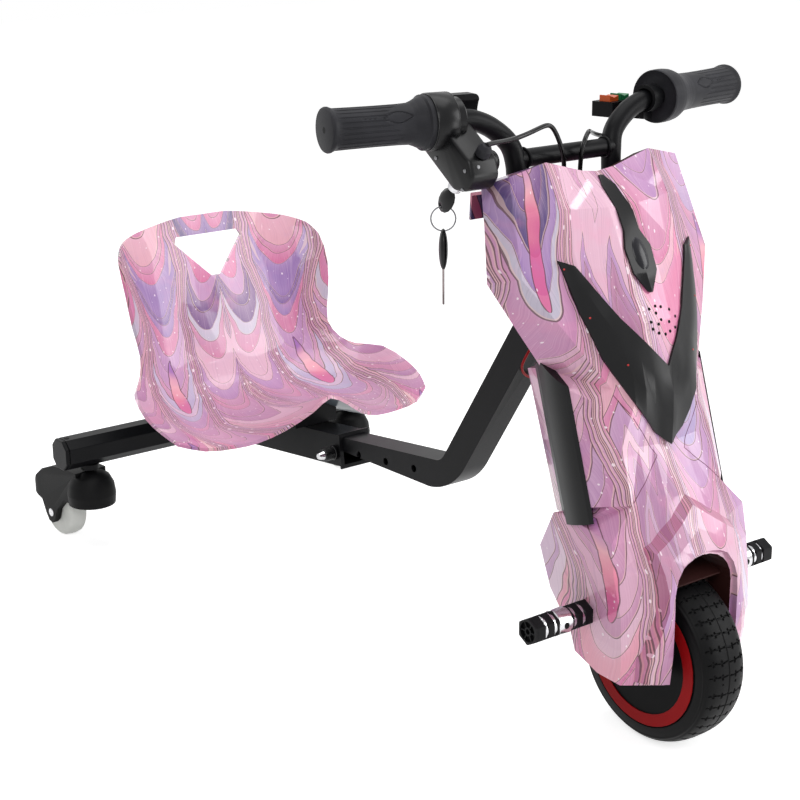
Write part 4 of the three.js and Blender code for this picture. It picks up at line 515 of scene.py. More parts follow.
def dress_plain_pieces():
    """The nodes that keep their CAD shape: node, piece, finish and width of the rounded edges in metres."""
    plain = [
        ("main_beam", "square_beam", black_coat, 0.003),
        ("head_tube", "head_tube_shell", black_coat, 0.0008),
        ("head_bearing_lower", "lower_bearing_ring", zinc, 0.0006),
        ("head_bearing_upper", "upper_bearing_ring", zinc, 0.0006),
        ("adjust_socket", "square_socket", black_coat, 0.0012),
        ("lock_bolt", "domed_lock_bolt", chrome, 0.001),
        ("rear_cross_tube", "octagonal_tube", black_coat, 0.002),
        *on_both_sides("end_cap", "tube_cap", black_plastic, 0.0015),
        ("seat_bracket_front", "pommel_bracket", black_coat, 0.0015),
        ("seat_bracket_rear", "back_bracket", black_coat, 0.0015),
        *on_both_sides("caster_hood", "hood", hood_black, 0.002),
        *on_both_sides("caster_pin", "wheel_pin", chrome, 0.0008),
        *on_both_sides("caster_wheel", "nylon_wheel", nylon, 0.0015),
        *on_both_sides("caster_stem", "kingpin", black_coat, 0.0006),
        ("hub_motor", "wheel_cover", motor_black, 0.0006),
        *on_both_sides("hub_ring", "red_ring", ring_red, 0.0004),
        ("hub_axle", "wheel_axle", zinc, 0.0006),
        *on_both_sides("axle_nut", "hex_nut", zinc, 0.0006),
        ("front_fork", "fork_plates", black_coat, 0.0015),
        ("arch_liner", "arch_lining", liner_brown, 0.0008),
        ("steering_column", "steering_stem", black_coat, 0.0008),
        ("stem_nut", "stem_lock_nut", zinc, 0.0008),
        ("spear_trim", "spear_panel", trim_black, 0.001),
        ("battery_pack", "sleeved_battery", sleeve_blue, 0.004),
        ("speaker", "speaker_cone", black_plastic, 0.0005),
        ("display_box", "display_case", black_plastic, 0.002),
        ("cable_gland", "rubber_gland", rubber_black, 0.0008),
        ("cable_grommet", "lid_grommet", rubber_black, 0.0008),
        ("power_lead", "red_lead", ring_red, 0),
        ("switch_box", "switch_case", black_plastic, 0.0015),
        ("rocker_orange", "orange_key", switch_orange, 0.0008),
        ("rocker_green", "green_key", switch_green, 0.0008),
        ("lock_barrel", "key_barrel", chrome, 0.0005),
        ("key_ring", "split_ring", ring_steel, 0),
    ]
    for row in plain:
        dressed(*row)


# Shapes made here

def round_turns(count, closed=False):
    """Even turns round a circle, with the first one again at the end where the circle is closed."""
    return np.linspace(0, FULL_TURN, count, endpoint=closed)


def grid_mesh(name, rings, capped=False):
    """A mesh from closed rings of points, each joined to the next, with flat caps at both ends if asked."""
    rings = np.asarray(rings, float)
    count, around = rings.shape[:2]
    faces = []
    for i in range(count - 1):
        for k in range(around):
            n = (k + 1) % around
            faces.append((i * around + k, i * around + n, (i + 1) * around + n, (i + 1) * around + k))
    if capped:
        faces.append(tuple(range(around - 1, -1, -1)))
        faces.append(tuple((count - 1) * around + k for k in range(around)))
    mesh = bpy.data.meshes.new(name)
    mesh.from_pydata(rings.reshape(-1, 3).tolist(), [], faces)
    mesh.update()
    bm = bmesh.new()
    bm.from_mesh(mesh)
    bmesh.ops.remove_doubles(bm, verts=bm.verts, dist=1e-7)
    bmesh.ops.recalc_face_normals(bm, faces=bm.faces)
    bm.to_mesh(mesh)
    bm.free()
    return linked(name, mesh)


def joined(name, pieces):
    """One mesh from several, with their materials kept."""
    bpy.ops.object.select_all(action="DESELECT")
    for one in pieces:
        one.select_set(True)
    bpy.context.view_layer.objects.active = pieces[0]
    bpy.ops.object.join()
    pieces[0].name = name
    return pieces[0]


def smooth_curve(points, count):
    """Points along a smooth curve through the given ones, so many to each stretch."""
    p = np.asarray(points, float)
    p = np.vstack([2 * p[0] - p[1], p, 2 * p[-1] - p[-2]])
    out = []
    for a, b, c, d in zip(p, p[1:], p[2:], p[3:]):
        for t in np.linspace(0, 1, count, endpoint=False):
            out.append(0.5 * (2 * b + (c - a) * t + (2 * a - 5 * b + 4 * c - d) * t ** 2
                              + (3 * b - a - 3 * c + d) * t ** 3))
    out.append(p[-2])
    return np.array(out)


def tube(name, points, radius, sides=28):
    """A closed round tube along a path, without twist."""
    path = np.asarray(points, float)
    heading = np.gradient(path, axis=0)
    heading /= np.linalg.norm(heading, axis=1)[:, None]
    side = np.cross(heading[0], (0.3, 0.9, 0.2))
    turn = round_turns(sides)[:, None]
    rings = []
    for place, forward in zip(path, heading):
        side = side - forward * side.dot(forward)
        side /= np.linalg.norm(side)
        other = np.cross(forward, side)
        rings.append(place + radius * (np.cos(turn) * side + np.sin(turn) * other))
    return grid_mesh(name, rings, capped=True)


def moved(piece, matrix):
    piece.data.transform(matrix)
    return piece


def on_bar(side):
    """Takes a piece drawn along Y, at its distance from the middle, to the swept end of the bar."""
    return (Matrix.Translation((GRIP_X, side * GRIP_END, GRIP_Z)) @ Matrix.Rotation(side * SWEEP, 4, "Z")
            @ Matrix.Translation((0, -side * GRIP_END, 0)))


def turned_about_y(name, profile, sides=64):
    """A closed form turned about Y from (distance along, radius) pairs."""
    rings = [[(r * math.sin(a), y, r * math.cos(a)) for a in round_turns(sides)] for y, r in profile]
    return grid_mesh(name, rings, capped=True)


# Repeats by geometry nodes

def spread_tree(finish):
    """A node tree that sets a piece on each point, turned by the point's own turn."""
    tree = bpy.data.node_groups.new("spread small pieces", "GeometryNodeTree")
    tree.interface.new_socket("Places", in_out="INPUT", socket_type="NodeSocketGeometry")
    piece = tree.interface.new_socket("Piece", in_out="INPUT", socket_type="NodeSocketObject")
    size = tree.interface.new_socket("Size", in_out="INPUT", socket_type="NodeSocketFloat")
    tree.interface.new_socket("Pieces", in_out="OUTPUT", socket_type="NodeSocketGeometry")
    start, end, info, turn, euler, copies, real, paint = (tree.nodes.new(kind) for kind in (
        "NodeGroupInput", "NodeGroupOutput", "GeometryNodeObjectInfo", "GeometryNodeInputNamedAttribute",
        "FunctionNodeEulerToRotation", "GeometryNodeInstanceOnPoints", "GeometryNodeRealizeInstances",
        "GeometryNodeSetMaterial"))
    turn.data_type = "FLOAT_VECTOR"
    turn.inputs["Name"].default_value = "turn"
    paint.inputs["Material"].default_value = finish
    for a, b in (
        (start.outputs["Places"], copies.inputs["Points"]),
        (start.outputs["Piece"], info.inputs["Object"]),
        (info.outputs["Geometry"], copies.inputs["Instance"]),
        (turn.outputs["Attribute"], euler.inputs[0]),
        (euler.outputs[0], copies.inputs["Rotation"]),
        (start.outputs["Size"], copies.inputs["Scale"]),
        (copies.outputs[0], real.inputs[0]),
        (real.outputs[0], paint.inputs["Geometry"]),
        (paint.outputs[0], end.inputs["Pieces"]),
    ):
        tree.links.new(a, b)
    return tree, piece.identifier, size.identifier


def spread(name, template, places, finish, size=1.0):
    """Copies of a template piece at the given matrices, as one plain mesh."""
    mesh = bpy.data.meshes.new(name)
    mesh.from_pydata([tuple(place.to_translation()) for place in places], [], [])
    turn = mesh.attributes.new("turn", "FLOAT_VECTOR", "POINT")
    for k, place in enumerate(places):
        turn.data[k].vector = place.to_euler("XYZ")
    holder = linked(name, mesh)
    tree, piece_id, size_id = spread_tree(finish)
    modifier = holder.modifiers.new("spread", "NODES")
    modifier.node_group = tree
    modifier[piece_id] = template
    modifier[size_id] = size
    result = bpy.data.meshes.new_from_object(holder.evaluated_get(bpy.context.evaluated_depsgraph_get()))
    holder.modifiers.clear()
    holder.data = result
    bpy.data.objects.remove(template)
    return holder


def facing(place, normal):
    """The matrix that puts a piece drawn up Z at a place, pointing along a normal."""
    turn = Vector(normal).normalized().to_track_quat("Z", "Y").to_matrix().to_4x4()
    return Matrix.Translation(place) @ turn


def button(name, radius, height, crown=0.4, sides=20):
    """A low domed head drawn up Z from its seat."""
    bm = bmesh.new()
    levels = [(radius, -height * 0.5), (radius, height * (1 - crown))]
    levels += [(radius * math.cos(a), height * (1 - crown + crown * math.sin(a))) for a in (0.4, 0.8, 1.2)]
    rings = [[bm.verts.new((r * math.cos(t), r * math.sin(t), z)) for t in round_turns(sides)]
             for r, z in levels]
    for low, high in zip(rings, rings[1:]):
        for k in range(sides):
            bm.faces.new((low[k], low[(k + 1) % sides], high[(k + 1) % sides], high[k]))
    bm.faces.new(rings[-1])
    bm.faces.new(rings[0][::-1])
    return as_object(bm, name)


def block(size):
    """A block of the given size about the origin, to be worked on."""
    bm = bmesh.new()
    bmesh.ops.create_cube(bm, size=1, matrix=Matrix.Diagonal((*size, 1)))
    return bm


# Front tyre: a rounded crown with cross cuts, small plus marks and a middle groove

TYRE_PROFILE = [(-0.0305, 0.0782), (-0.0316, 0.0815), (-0.0320, 0.0850), (-0.0312, 0.0885), (-0.0290, 0.0920),
                (-0.0250, 0.0950), (-0.0180, 0.0974), (-0.0095, 0.0986), (0, 0.0989)]
BEAD_HALF_WIDTH = 0.0300
BEAD_RADIUS = 0.0779
TREAD_FROM = 20
TREAD_COLUMNS = 84
TREAD_ROWS = 780
TREAD_PITCH = 0.0154
TREAD_CUT = 0.0016
TREAD_HALF_WIDTH = 0.0262
PLUS_PLACES = (0.0095, 0.0205)
SHOULDER_GROOVE = 0.0285


def tread_depth(turn, y):
    """How far the tread is cut at a turn round the wheel and a distance from its middle, in metres."""
    off = np.abs(y)
    # The cuts waver across the tyre, and its two halves are out of step
    wander = 0.05 * np.sin(off / 0.027 * 6.0) + 0.04 * np.sign(y)
    phase = np.abs((turn * TYRE_RADIUS / TREAD_PITCH + wander) % 1.0 - 0.5) * TREAD_PITCH
    cuts = (phase < 0.0007) & (off > 0.0015) & (off < TREAD_HALF_WIDTH)
    for place in PLUS_PLACES:
        cuts |= (phase < 0.0032) & (np.abs(off - place) < 0.0009)
    depth = np.where(cuts, TREAD_CUT, 0.0)
    depth = np.where(off < 0.0005, TREAD_CUT / 2, depth)
    shoulder = np.where(np.abs(off - SHOULDER_GROOVE) < 0.0006, 0.0006, 0.0)
    return np.maximum(depth, shoulder)


def front_tyre():
    half = smooth_curve(TYRE_PROFILE, 9)
    y, r = np.vstack([half, half[-2::-1] * (-1, 1)]).T
    edge = y[TREAD_FROM]
    across = np.concatenate([y[:TREAD_FROM], np.linspace(edge, -edge, TREAD_COLUMNS), y[-TREAD_FROM:]])
    crown = np.interp(across, y, r)
    whole_y = np.append(across, (BEAD_HALF_WIDTH, -BEAD_HALF_WIDTH))
    rings = []
    for turn in round_turns(TREAD_ROWS):
        radius = np.append(crown - tread_depth(turn, across), (BEAD_RADIUS, BEAD_RADIUS))
        rings.append(np.stack([radius * math.cos(turn), whole_y, radius * math.sin(turn)], axis=1))
    rings.append(rings[0])
    tyre = moved(grid_mesh("front_tyre", rings), Matrix.Translation(FRONT_AXLE))
    smooth_by_angle(tyre, 38)
    settle(tyre, "front_tyre", "tyre", tyre_black)


# Grips: ribs along the rubber, running into leaf marks towards the rider's thumb

GRIP_OUTER_END = [(0.2100, 0.0208), (0.2350, 0.0207), (0.2600, 0.0209), (0.2790, 0.0212), (0.2825, 0.0213),
                  (0.2848, 0.0222), (0.2868, 0.0231), (0.2888, 0.0232), (0.2904, 0.0224), (GRIP_END, 0.0205)]
RIGHT_GRIP = [(0.1780, 0.0150), (0.1780, 0.0283), (0.1832, 0.0285), (0.1848, 0.0262), (0.1882, 0.0252),
              (0.1925, 0.0232), (0.1980, 0.0213), *GRIP_OUTER_END]
LEFT_GRIP = [(0.1446, 0.0120), (0.1440, 0.0200), (0.1428, 0.0262), (0.1400, 0.0291), (0.1416, 0.0299),
             (0.1500, 0.0300), (0.1560, 0.0298), (0.1620, 0.0291), (0.1690, 0.0268), (0.1760, 0.0243),
             (0.1830, 0.0226), (0.1920, 0.0213), *GRIP_OUTER_END]
GRIP_RADIUS = 0.021
RIBS = 24
RIB_DEPTH = 0.0007
RIBS_END = 0.2815
LEAVES = 3
LEAF_START = 0.2
LEAF_END = 0.234
MARK_DEPTH = 0.0009
DASHES_START = 0.238
DASHES_END = 0.258
DASH_PITCH = 0.005


def off_middle(turn, count):
    """How far a turn lies from the middle of its share of the circle, in shares, for so many shares."""
    return (turn * count / FULL_TURN) % 1.0 - 0.5


def grip_depth(turn, d):
    """Rib grooves, a leaf outline and a row of dashes, as depth below the rubber's face."""
    leaf = off_middle(turn, LEAVES)
    arc = np.abs(leaf) * FULL_TURN / LEAVES * GRIP_RADIUS
    ribs_start = 0.222 + 0.010 * np.cos(leaf * FULL_TURN)
    rib = np.abs(off_middle(turn, RIBS)) / RIBS * FULL_TURN * GRIP_RADIUS
    depth = np.where((rib < 0.0008) & (d > ribs_start) & (d < RIBS_END), RIB_DEPTH, 0.0)
    blade = 0.0062 * np.sin(np.clip((d - LEAF_START) / (LEAF_END - LEAF_START), 0, 1) * math.pi)
    inside = (arc < blade + 0.0012) & (d > LEAF_START) & (d < LEAF_END + 0.002)
    depth = np.where(inside, 0.0, depth)
    outline = (np.abs(arc - blade) < 0.0006) & (d > LEAF_START) & (d < LEAF_END)
    in_dash = ((d - DASHES_START) / DASH_PITCH) % 1.0 < 0.5
    dashes = (arc < 0.0009) & (d > DASHES_START) & (d < DASHES_END) & in_dash
    return np.where(outline | dashes, MARK_DEPTH, depth)


def grip(name, node, side, profile):
    """A turned rubber grip with its marks pressed in."""
    knots = np.array(profile)
    path = []
    for knot, after in zip(knots, knots[1:]):
        steps = 9 if abs(after[0] - knot[0]) > 0.004 else 1
        path += list(np.linspace(knot, after, steps, endpoint=False))
    path.append(knots[-1])
    turns = round_turns(240)
    rings = []
    for dist, radius in path:
        cut = radius - grip_depth(turns, dist)
        along = np.full_like(turns, side * dist)
        rings.append(np.stack([cut * np.sin(turns), along, cut * np.cos(turns)], axis=1))
    rubber = grid_mesh(name, rings, capped=True)
    # Painted shade: a thin black disc for the hole in the grip's end
    hole = turned_about_y(name + "_hole", [(side * 0.2900, 0.0033), (side * 0.29105, 0.0033)], 24)
    piece = joined(name, [painted(rubber, rubber_black, 34), painted(hole, hole_shade_black, 34)])
    settle(moved(piece, on_bar(side)), name, node)


# Foot pegs: black hexagonal bands on a chrome core, with a spoked end

PEG_X = 0.44225
PEG_Z = 0.166
PEG_TIP = 0.1812
PEG_CORE = [(0.0393, 0.0080), (0.0998, 0.0080), (0.0998, 0.0132), (0.1290, 0.0132), (0.1300, 0.0143),
            (0.1470, 0.0143), (0.1480, 0.0132), (0.1650, 0.0132), (0.1700, 0.0100), (0.1700, 0.0060)]
# Where each band starts and ends, from the tip
HEX_BANDS = [(0.0032, 0.0138), (0.0176, 0.0262), (0.0300, 0.0332), (0.0510, 0.0540), (0.0576, 0.0660),
             (0.0698, 0.0805)]
SIXTH = math.pi / 3


def hex_ring(name, start, end, outer, inner):
    """A black hexagonal band along Y with a round bore, its ends given from the tip of the peg."""
    bm = bmesh.new()
    loops = []
    turns = round_turns(48) + SIXTH / 2
    flat = outer * math.cos(SIXTH / 2)
    hexagon = [min(flat / math.cos(a % SIXTH - SIXTH / 2), outer * 0.985) for a in turns]
    bore = [inner] * len(turns)
    for y in (PEG_TIP - end, PEG_TIP - start):
        for reaches in (hexagon, bore):
            loops.append([bm.verts.new((r * math.sin(a), y, r * math.cos(a)))
                          for r, a in zip(reaches, turns)])
    outside, inside, far_outside, far_inside = loops
    for near, far in ((outside, far_outside), (far_inside, inside), (inside, outside),
                      (far_outside, far_inside)):
        for k in range(len(turns)):
            n = (k + 1) % len(turns)
            bm.faces.new((near[k], near[n], far[n], far[k]))
    bmesh.ops.recalc_face_normals(bm, faces=bm.faces)
    return painted(as_object(bm, name), peg_black, 20)


def peg_spokes():
    bm = block((0.0075, 0.0028, 0.0011))
    bmesh.ops.translate(bm, verts=bm.verts, vec=(0.008, 0, 0))
    end = Matrix.Translation((0, PEG_TIP - 0.0021, 0))
    places = [end @ Matrix.Rotation(k * SIXTH, 4, "Y") for k in range(6)]
    return spread("peg_spokes", as_object(bm, "peg_spoke"), places, peg_black)


def foot_peg(name, node, side):
    pieces = [painted(turned_about_y("peg_core", PEG_CORE, 48), chrome, 30)]
    pieces += [hex_ring("peg_band", start, end, 0.0154, 0.0100) for start, end in HEX_BANDS]
    # Painted shade: a black floor in the recess at the spoked end
    pieces.append(painted(turned_about_y("peg_floor", [(0.1690, 0.0110), (0.1778, 0.0110)], 32), hole_shade_black))
    pieces.append(hex_ring("peg_rim", 0.0, 0.0035, 0.0152, 0.0112))
    pieces.append(hex_ring("peg_hub", 0.0004, 0.0035, 0.0052, 0.0030))
    pieces.append(peg_spokes())
    # Painted shade: a black rod whose ends show as the cross hole through the core
    hole = painted(turned_about_y("peg_hole", [(-0.0143, 0.0035), (0.0143, 0.0035)], 24), hole_shade_black)
    moved(hole, Matrix.Translation((0, PEG_TIP - 0.0425, 0)) @ Matrix.Rotation(math.pi / 2, 4, "Z"))
    peg = joined(name, pieces + [hole])
    place = Matrix.Translation((PEG_X, 0, PEG_Z))
    if side < 0:
        place = place @ Matrix.Rotation(math.pi, 4, "Z")
    settle(moved(peg, place), name, node)


# Handlebar: two bent risers, a crossbar with weld beads and the clamp plate

BAR_RADIUS = 0.0111
CROSSBAR_RADIUS = 0.010
PLATE = Vector((0.2928, 0, 0.5718))
PLATE_SIZE = (0.040, 0.1720, 0.008)
PLATE_TILT = math.radians(19.5)
# The bend of a riser, in shares of its reach forwards, sideways and up
RISER = [(0.00, 0.00, -0.04), (0.15, 0.00, 0.22), (0.30, 0.01, 0.49), (0.66, 0.10, 0.70), (0.92, 0.40, 0.88),
         (0.96, 0.74, 0.98), (1.00, 1.00, 1.00)]
RISER_HALF_SPAN = 0.0695
BEND_END_Y = 0.143
BEND_END = Vector((GRIP_X + (GRIP_END - BEND_END_Y) * math.tan(SWEEP), BEND_END_Y, GRIP_Z))
REACH = BEND_END - Vector((PLATE.x, RISER_HALF_SPAN, PLATE.z))
CROSSBAR_X = PLATE.x + 0.3 * REACH.x
CROSSBAR_Z = PLATE.z + 0.53 * REACH.z
WELD_Y = 0.0588
WELD_RADIUS = 0.0108


def riser(side):
    bend = [(PLATE.x + x * REACH.x, side * (RISER_HALF_SPAN + y * REACH.y), PLATE.z + z * REACH.z)
            for x, y, z in RISER]
    tip = on_bar(side) @ Vector((0, side * 0.2855, 0))
    return tube("riser", np.vstack([smooth_curve(bend, 12), tip]), BAR_RADIUS, 36)


def crossbar_weld(side):
    bead = [(CROSSBAR_X + WELD_RADIUS * math.sin(a), side * (WELD_Y + 0.0012 * math.cos(2 * a)),
             CROSSBAR_Z + WELD_RADIUS * math.cos(a)) for a in round_turns(49, closed=True)]
    return tube("weld_bead", bead, 0.0017, 10)


def clamp_plate():
    bm = block(PLATE_SIZE)
    bmesh.ops.bevel(bm, geom=bm.edges[:], offset=0.0015, segments=2, affect="EDGES")
    below = Matrix.Translation(PLATE - STEERING * (PLATE_SIZE[2] / 2))
    return moved(as_object(bm, "clamp_plate"), below @ Matrix.Rotation(-PLATE_TILT, 4, "Y"))


def handlebar():
    across = np.linspace(-RISER_HALF_SPAN, RISER_HALF_SPAN, 5)
    crossbar = tube("crossbar", [(CROSSBAR_X, y, CROSSBAR_Z) for y in across], CROSSBAR_RADIUS, 32)
    pieces = [riser(-1), riser(1), crossbar, crossbar_weld(-1), crossbar_weld(1), clamp_plate()]
    for one in pieces:
        painted(one, black_coat, 40)
    settle(joined("bent_handlebar", pieces), "bent_handlebar", "handlebar")


# Trims on the front panel

def surface(node):
    """The faces of a CAD node, to find where a straight line meets them."""
    bm = merged_copy(node, 0)
    tree = BVHTree.FromBMesh(bm)
    bm.free()
    return tree


def front_face(tree, y, z):
    """Where the front of a panel lies at a side distance and a height, and which way it faces there."""
    place, normal, _, _ = tree.ray_cast(Vector((0.8, y, z)), Vector((-1, 0, 0)))
    return place, normal


BLADE_KEEL_TOP = 0.425
BLADE_KEEL = 0.0035


def blade_trim():
    """The V-shaped blade, with its middle line raised to a keel at the lower end."""
    bm = merged_copy("blade_trim")
    for vert in bm.verts:
        if abs(vert.co.y) < 0.0025 and vert.co.z < 0.42:
            vert.co.x += BLADE_KEEL * min(1.0, (BLADE_KEEL_TOP - vert.co.z) / 0.03)
    piece = as_object(bm, "blade_panel")
    smooth_by_angle(piece, 26)
    rounded(piece, 0.0011, degrees=26)
    settle(piece, "blade_panel", "blade_trim", trim_black)


RAIL_TOP = Vector((-0.35, 0, 1)) * 0.013
RAIL_TOP_FROM = 0.375


def side_rails():
    """The half-round rails down the sides, run on up behind the front panel's edge."""
    for side in ("right", "left"):
        node, name = f"side_bar_{side}", f"side_rail_{side}"
        bm = merged_copy(node)
        for vert in bm.verts:
            vert.co += RAIL_TOP * min(1.0, max(0.0, (vert.co.z - RAIL_TOP_FROM) / 0.02))
        rail = as_object(bm, name)
        smooth_by_angle(rail, 40)
        rounded(rail, 0.003, 4, 40)
        settle(rail, name, node, trim_black)


PANEL_EDGE = 0.0085
PANEL_LIFT = 0.0082
PANEL_ROOT = -0.0015
# How many points lie across the panel, and the one at which its slope starts
PANEL_POINTS = 6
SLOPE_POINT = 1
# The outer and inner outline of the panel, side distance and height, from the right foot up to the middle
PANEL_STATIONS = [
    ((-0.0790, 0.0990), (-0.0485, 0.0950)), ((-0.0810, 0.1280), (-0.0475, 0.1280)),
    ((-0.0750, 0.1450), (-0.0475, 0.1450)), ((-0.0695, 0.1620), (-0.0475, 0.1620)),
    ((-0.0635, 0.1820), (-0.0475, 0.1800)), ((-0.0620, 0.2000), (-0.0470, 0.1960)),
    ((-0.0640, 0.2230), (-0.0420, 0.2120)), ((-0.0658, 0.2450), (-0.0325, 0.2245)),
    ((-0.0450, 0.2585), (-0.0210, 0.2300)), ((-0.0220, 0.2735), (-0.0105, 0.2318)),
    ((0.0, 0.2880), (0.0, 0.2325)),
]
# How far forwards the panel lies where nothing of the front panel is behind it
PANEL_FRONT = 0.511


def arch_panel(tree):
    """The raised panel round the wheel arch, with a sloping edge whose print carries painted shade."""
    stations = PANEL_STATIONS + [((-a[0], a[1]), (-b[0], b[1])) for a, b in PANEL_STATIONS[-2::-1]]
    rings = []
    for outer, inner in stations:
        outer, inner = np.array(outer), np.array(inner)
        edge = min(0.6, PANEL_EDGE / np.linalg.norm(inner - outer))
        row = []
        for share, lift in ((0.0, PANEL_ROOT), (0.0, 0.0), (edge, PANEL_LIFT), (0.5 + edge / 2, PANEL_LIFT),
                            (1.0, PANEL_LIFT), (1.0, PANEL_ROOT)):
            tries = [front_face(tree, *(outer + min(share, most) * (inner - outer)))[0]
                     for most in (0.9, 0.7, 0.5, 0.3, 0.1)]
            front = next((hit.x for hit in tries if hit is not None and hit.x > 0.4), PANEL_FRONT)
            row.append((front + lift, *(outer + share * (inner - outer))))
        rings.append(row)
    # The sloping edge takes the copy of the print with painted shade
    panel = painted(painted(grid_mesh("arch_panel", rings, capped=True), printed), slope_print_with_painted_shade)
    for number in range((len(rings) - 1) * PANEL_POINTS):
        panel.data.polygons[number].material_index = 1 if number % PANEL_POINTS == SLOPE_POINT else 0
    return panel


# Side distance and height: a seam in metres, the holes and lamps in millimetres
SEAM = [(-0.0631, 0.398), (-0.0310, 0.3471), (-0.0205, 0.3295), (-0.0365, 0.3147), (-0.0525, 0.3007),
        (-0.0658, 0.2876)]
SPEAKER_HOLES = [(1.7, 481.1), (9.7, 479.3), (-7.5, 479.4), (21.0, 475.1), (0.0, 474.5), (29.2, 466.4),
                 (4.5, 467.4), (16.2, 463.4), (-10.0, 467.0), (-0.7, 463.7), (-9.1, 459.8), (15.1, 453.9),
                 (-2.3, 454.8), (7.2, 452.2), (25.1, 456.0)]
LAMPS = [(-92.6, 527.2), (-77.3, 478.1), (-48.3, 428.8)]


def panel_details():
    """Thin dark lines of painted shadow along the front panel's seams, black dots of painted shade for its
    speaker holes, and marker lamps on the blade.
    """
    tree = surface("front_fairing")
    blade = surface("blade_trim")
    seams = []
    # Painted shadow: thin dark tubes along the seams
    for side in (1, -1):
        points = []
        for start, end in zip(SEAM, SEAM[1:]):
            for y, z in np.linspace(start, end, 8, endpoint=False):
                hit, _ = front_face(tree, side * y, z)
                points.append((hit.x - 0.00012, hit.y, hit.z))
        seams.append(tube("panel_seam", points, 0.00042, 8))
    settle(joined("panel_seams", seams), "panel_seams", "front_fairing", painted_seam_shadow, hides=False)
    # Painted shade: black dots for the speaker holes
    holes = [facing(*front_face(tree, y / 1000, z / 1000)) for y, z in SPEAKER_HOLES]
    dots = spread("sound_holes", button("sound_hole", 0.0017, 0.0005, 0.2, 16), holes, hole_shade_black)
    settle(dots, "sound_holes", "front_fairing", hides=False)
    lamps = [facing(*front_face(blade, side * y / 1000, z / 1000)) for y, z in LAMPS for side in (1, -1)]
    spots = spread("marker_lamps", button("marker_lamp", 0.0011, 0.0006, 0.6, 16), lamps, lamp_red)
    settle(spots, "marker_lamps", "blade_trim", hides=False)


LENS_Z = 0.5335
LENS_WAY = (0.885, 0, 0.465)
LENS_HALF_HEIGHT = 0.0104
LENS_HALF_WIDTH = 0.0200
LENS_RISE = 0.0042
LENS_SUNK = 0.0018


def spear_blister():
    """The smooth raised lens on the upper trim."""
    middle, _ = front_face(surface("spear_trim"), 0.0, LENS_Z)
    rings = []
    for level in np.linspace(0.02, 1, 12):
        rise = LENS_RISE * math.sqrt(1 - level * level) - LENS_SUNK
        rings.append([(LENS_HALF_HEIGHT * level * math.cos(t), LENS_HALF_WIDTH * level * math.sin(t), rise)
                      for t in round_turns(40)])
    lens = moved(grid_mesh("spear_lens", rings, capped=True), facing(middle, LENS_WAY))
    smooth_by_angle(lens, 60)
    settle(lens, "spear_lens", "spear_trim", lens_black, hides=False)


# Controls

THROTTLE_ROUTE = [
    (0.3384, -0.1510, 0.6544), (0.3425, -0.1510, 0.6600), (0.3213, -0.1150, 0.6485), (0.3152, -0.0910, 0.6520),
    (0.3142, -0.0710, 0.6560), (0.3162, -0.0580, 0.6610), (0.3183, -0.0500, 0.6650), (0.3162, -0.0440, 0.6646),
    (0.3142, -0.0370, 0.6560), (0.3142, -0.0300, 0.6445), (0.3133, -0.0220, 0.6310), (0.3092, -0.0170, 0.6180),
    (0.3062, -0.0160, 0.6080), (0.3062, -0.0160, 0.6040),
]
SWITCH_ROUTE = [
    (0.2363, 0.1380, 0.6480), (0.2372, 0.1370, 0.6410), (0.2543, 0.1240, 0.6340), (0.2652, 0.1000, 0.6290),
    (0.2693, 0.0780, 0.6310), (0.2712, 0.0620, 0.6370), (0.2782, 0.0460, 0.6430), (0.2923, 0.0330, 0.6475),
    (0.3053, 0.0220, 0.6490), (0.3108, 0.0120, 0.6460), (0.3103, 0.0075, 0.6386), (0.3087, 0.0070, 0.6270),
    (0.3062, 0.0080, 0.6140), (0.3062, 0.0080, 0.6080), (0.3062, 0.0080, 0.6040),
]
CABLE_RADIUS = 0.0026
CABLE_EASING = 260


def control_cables():
    """Both cables along their routes, with the bends eased by averaging each point with its neighbours."""
    for name, node, route in (("throttle_lead", "throttle_cable", THROTTLE_ROUTE),
                              ("switch_lead", "switch_cable", SWITCH_ROUTE)):
        path = smooth_curve(route, 10)
        for _ in range(CABLE_EASING):
            path[1:-1] = (path[:-2] + 2 * path[1:-1] + path[2:]) / 4
        cable = tube(name, path, CABLE_RADIUS, 16)
        smooth_by_angle(cable, 60)
        settle(cable, name, node, gloss_black)


SPARE_BLADE_TOP = 0.5185


def keys():
    """The key in the lock, and the spare one with its steel blade."""
    bow = as_object(merged_copy("ignition_key", 0), "ignition_bow")
    smooth_by_angle(bow, 50)
    settle(bow, "ignition_bow", "ignition_key", trim_black)
    spare = as_object(merged_copy("spare_key", 0), "spare_bow")
    for face in spare.data.polygons:
        face.material_index = 1 if face.center.z < SPARE_BLADE_TOP else 0
    painted(painted(spare, trim_black), key_steel, 50)
    settle(spare, "spare_bow", "spare_key")


THREADS = 11
THREAD_PITCH = 0.0013


def threaded_boss():
    """The black threaded sleeve that the lock bolt's silver dome stands out of."""
    profile = [(-0.0215, 0.0060), (-0.0215, 0.0098), (-0.0262, 0.0098), (-0.0268, 0.0092)]
    for k in range(THREADS):
        start = -0.0272 - k * THREAD_PITCH
        profile += [(start, 0.0080), (start - 0.00045, 0.0088), (start - 0.00085, 0.0088)]
    profile += [(-0.0418, 0.0082), (-0.0418, 0.0060)]
    boss = moved(turned_about_y("threaded_boss", profile, 48), Matrix.Translation((-0.1223, 0, 0.1796)))
    smooth_by_angle(boss, 40)
    settle(boss, "threaded_boss", "lock_boss", gloss_black)


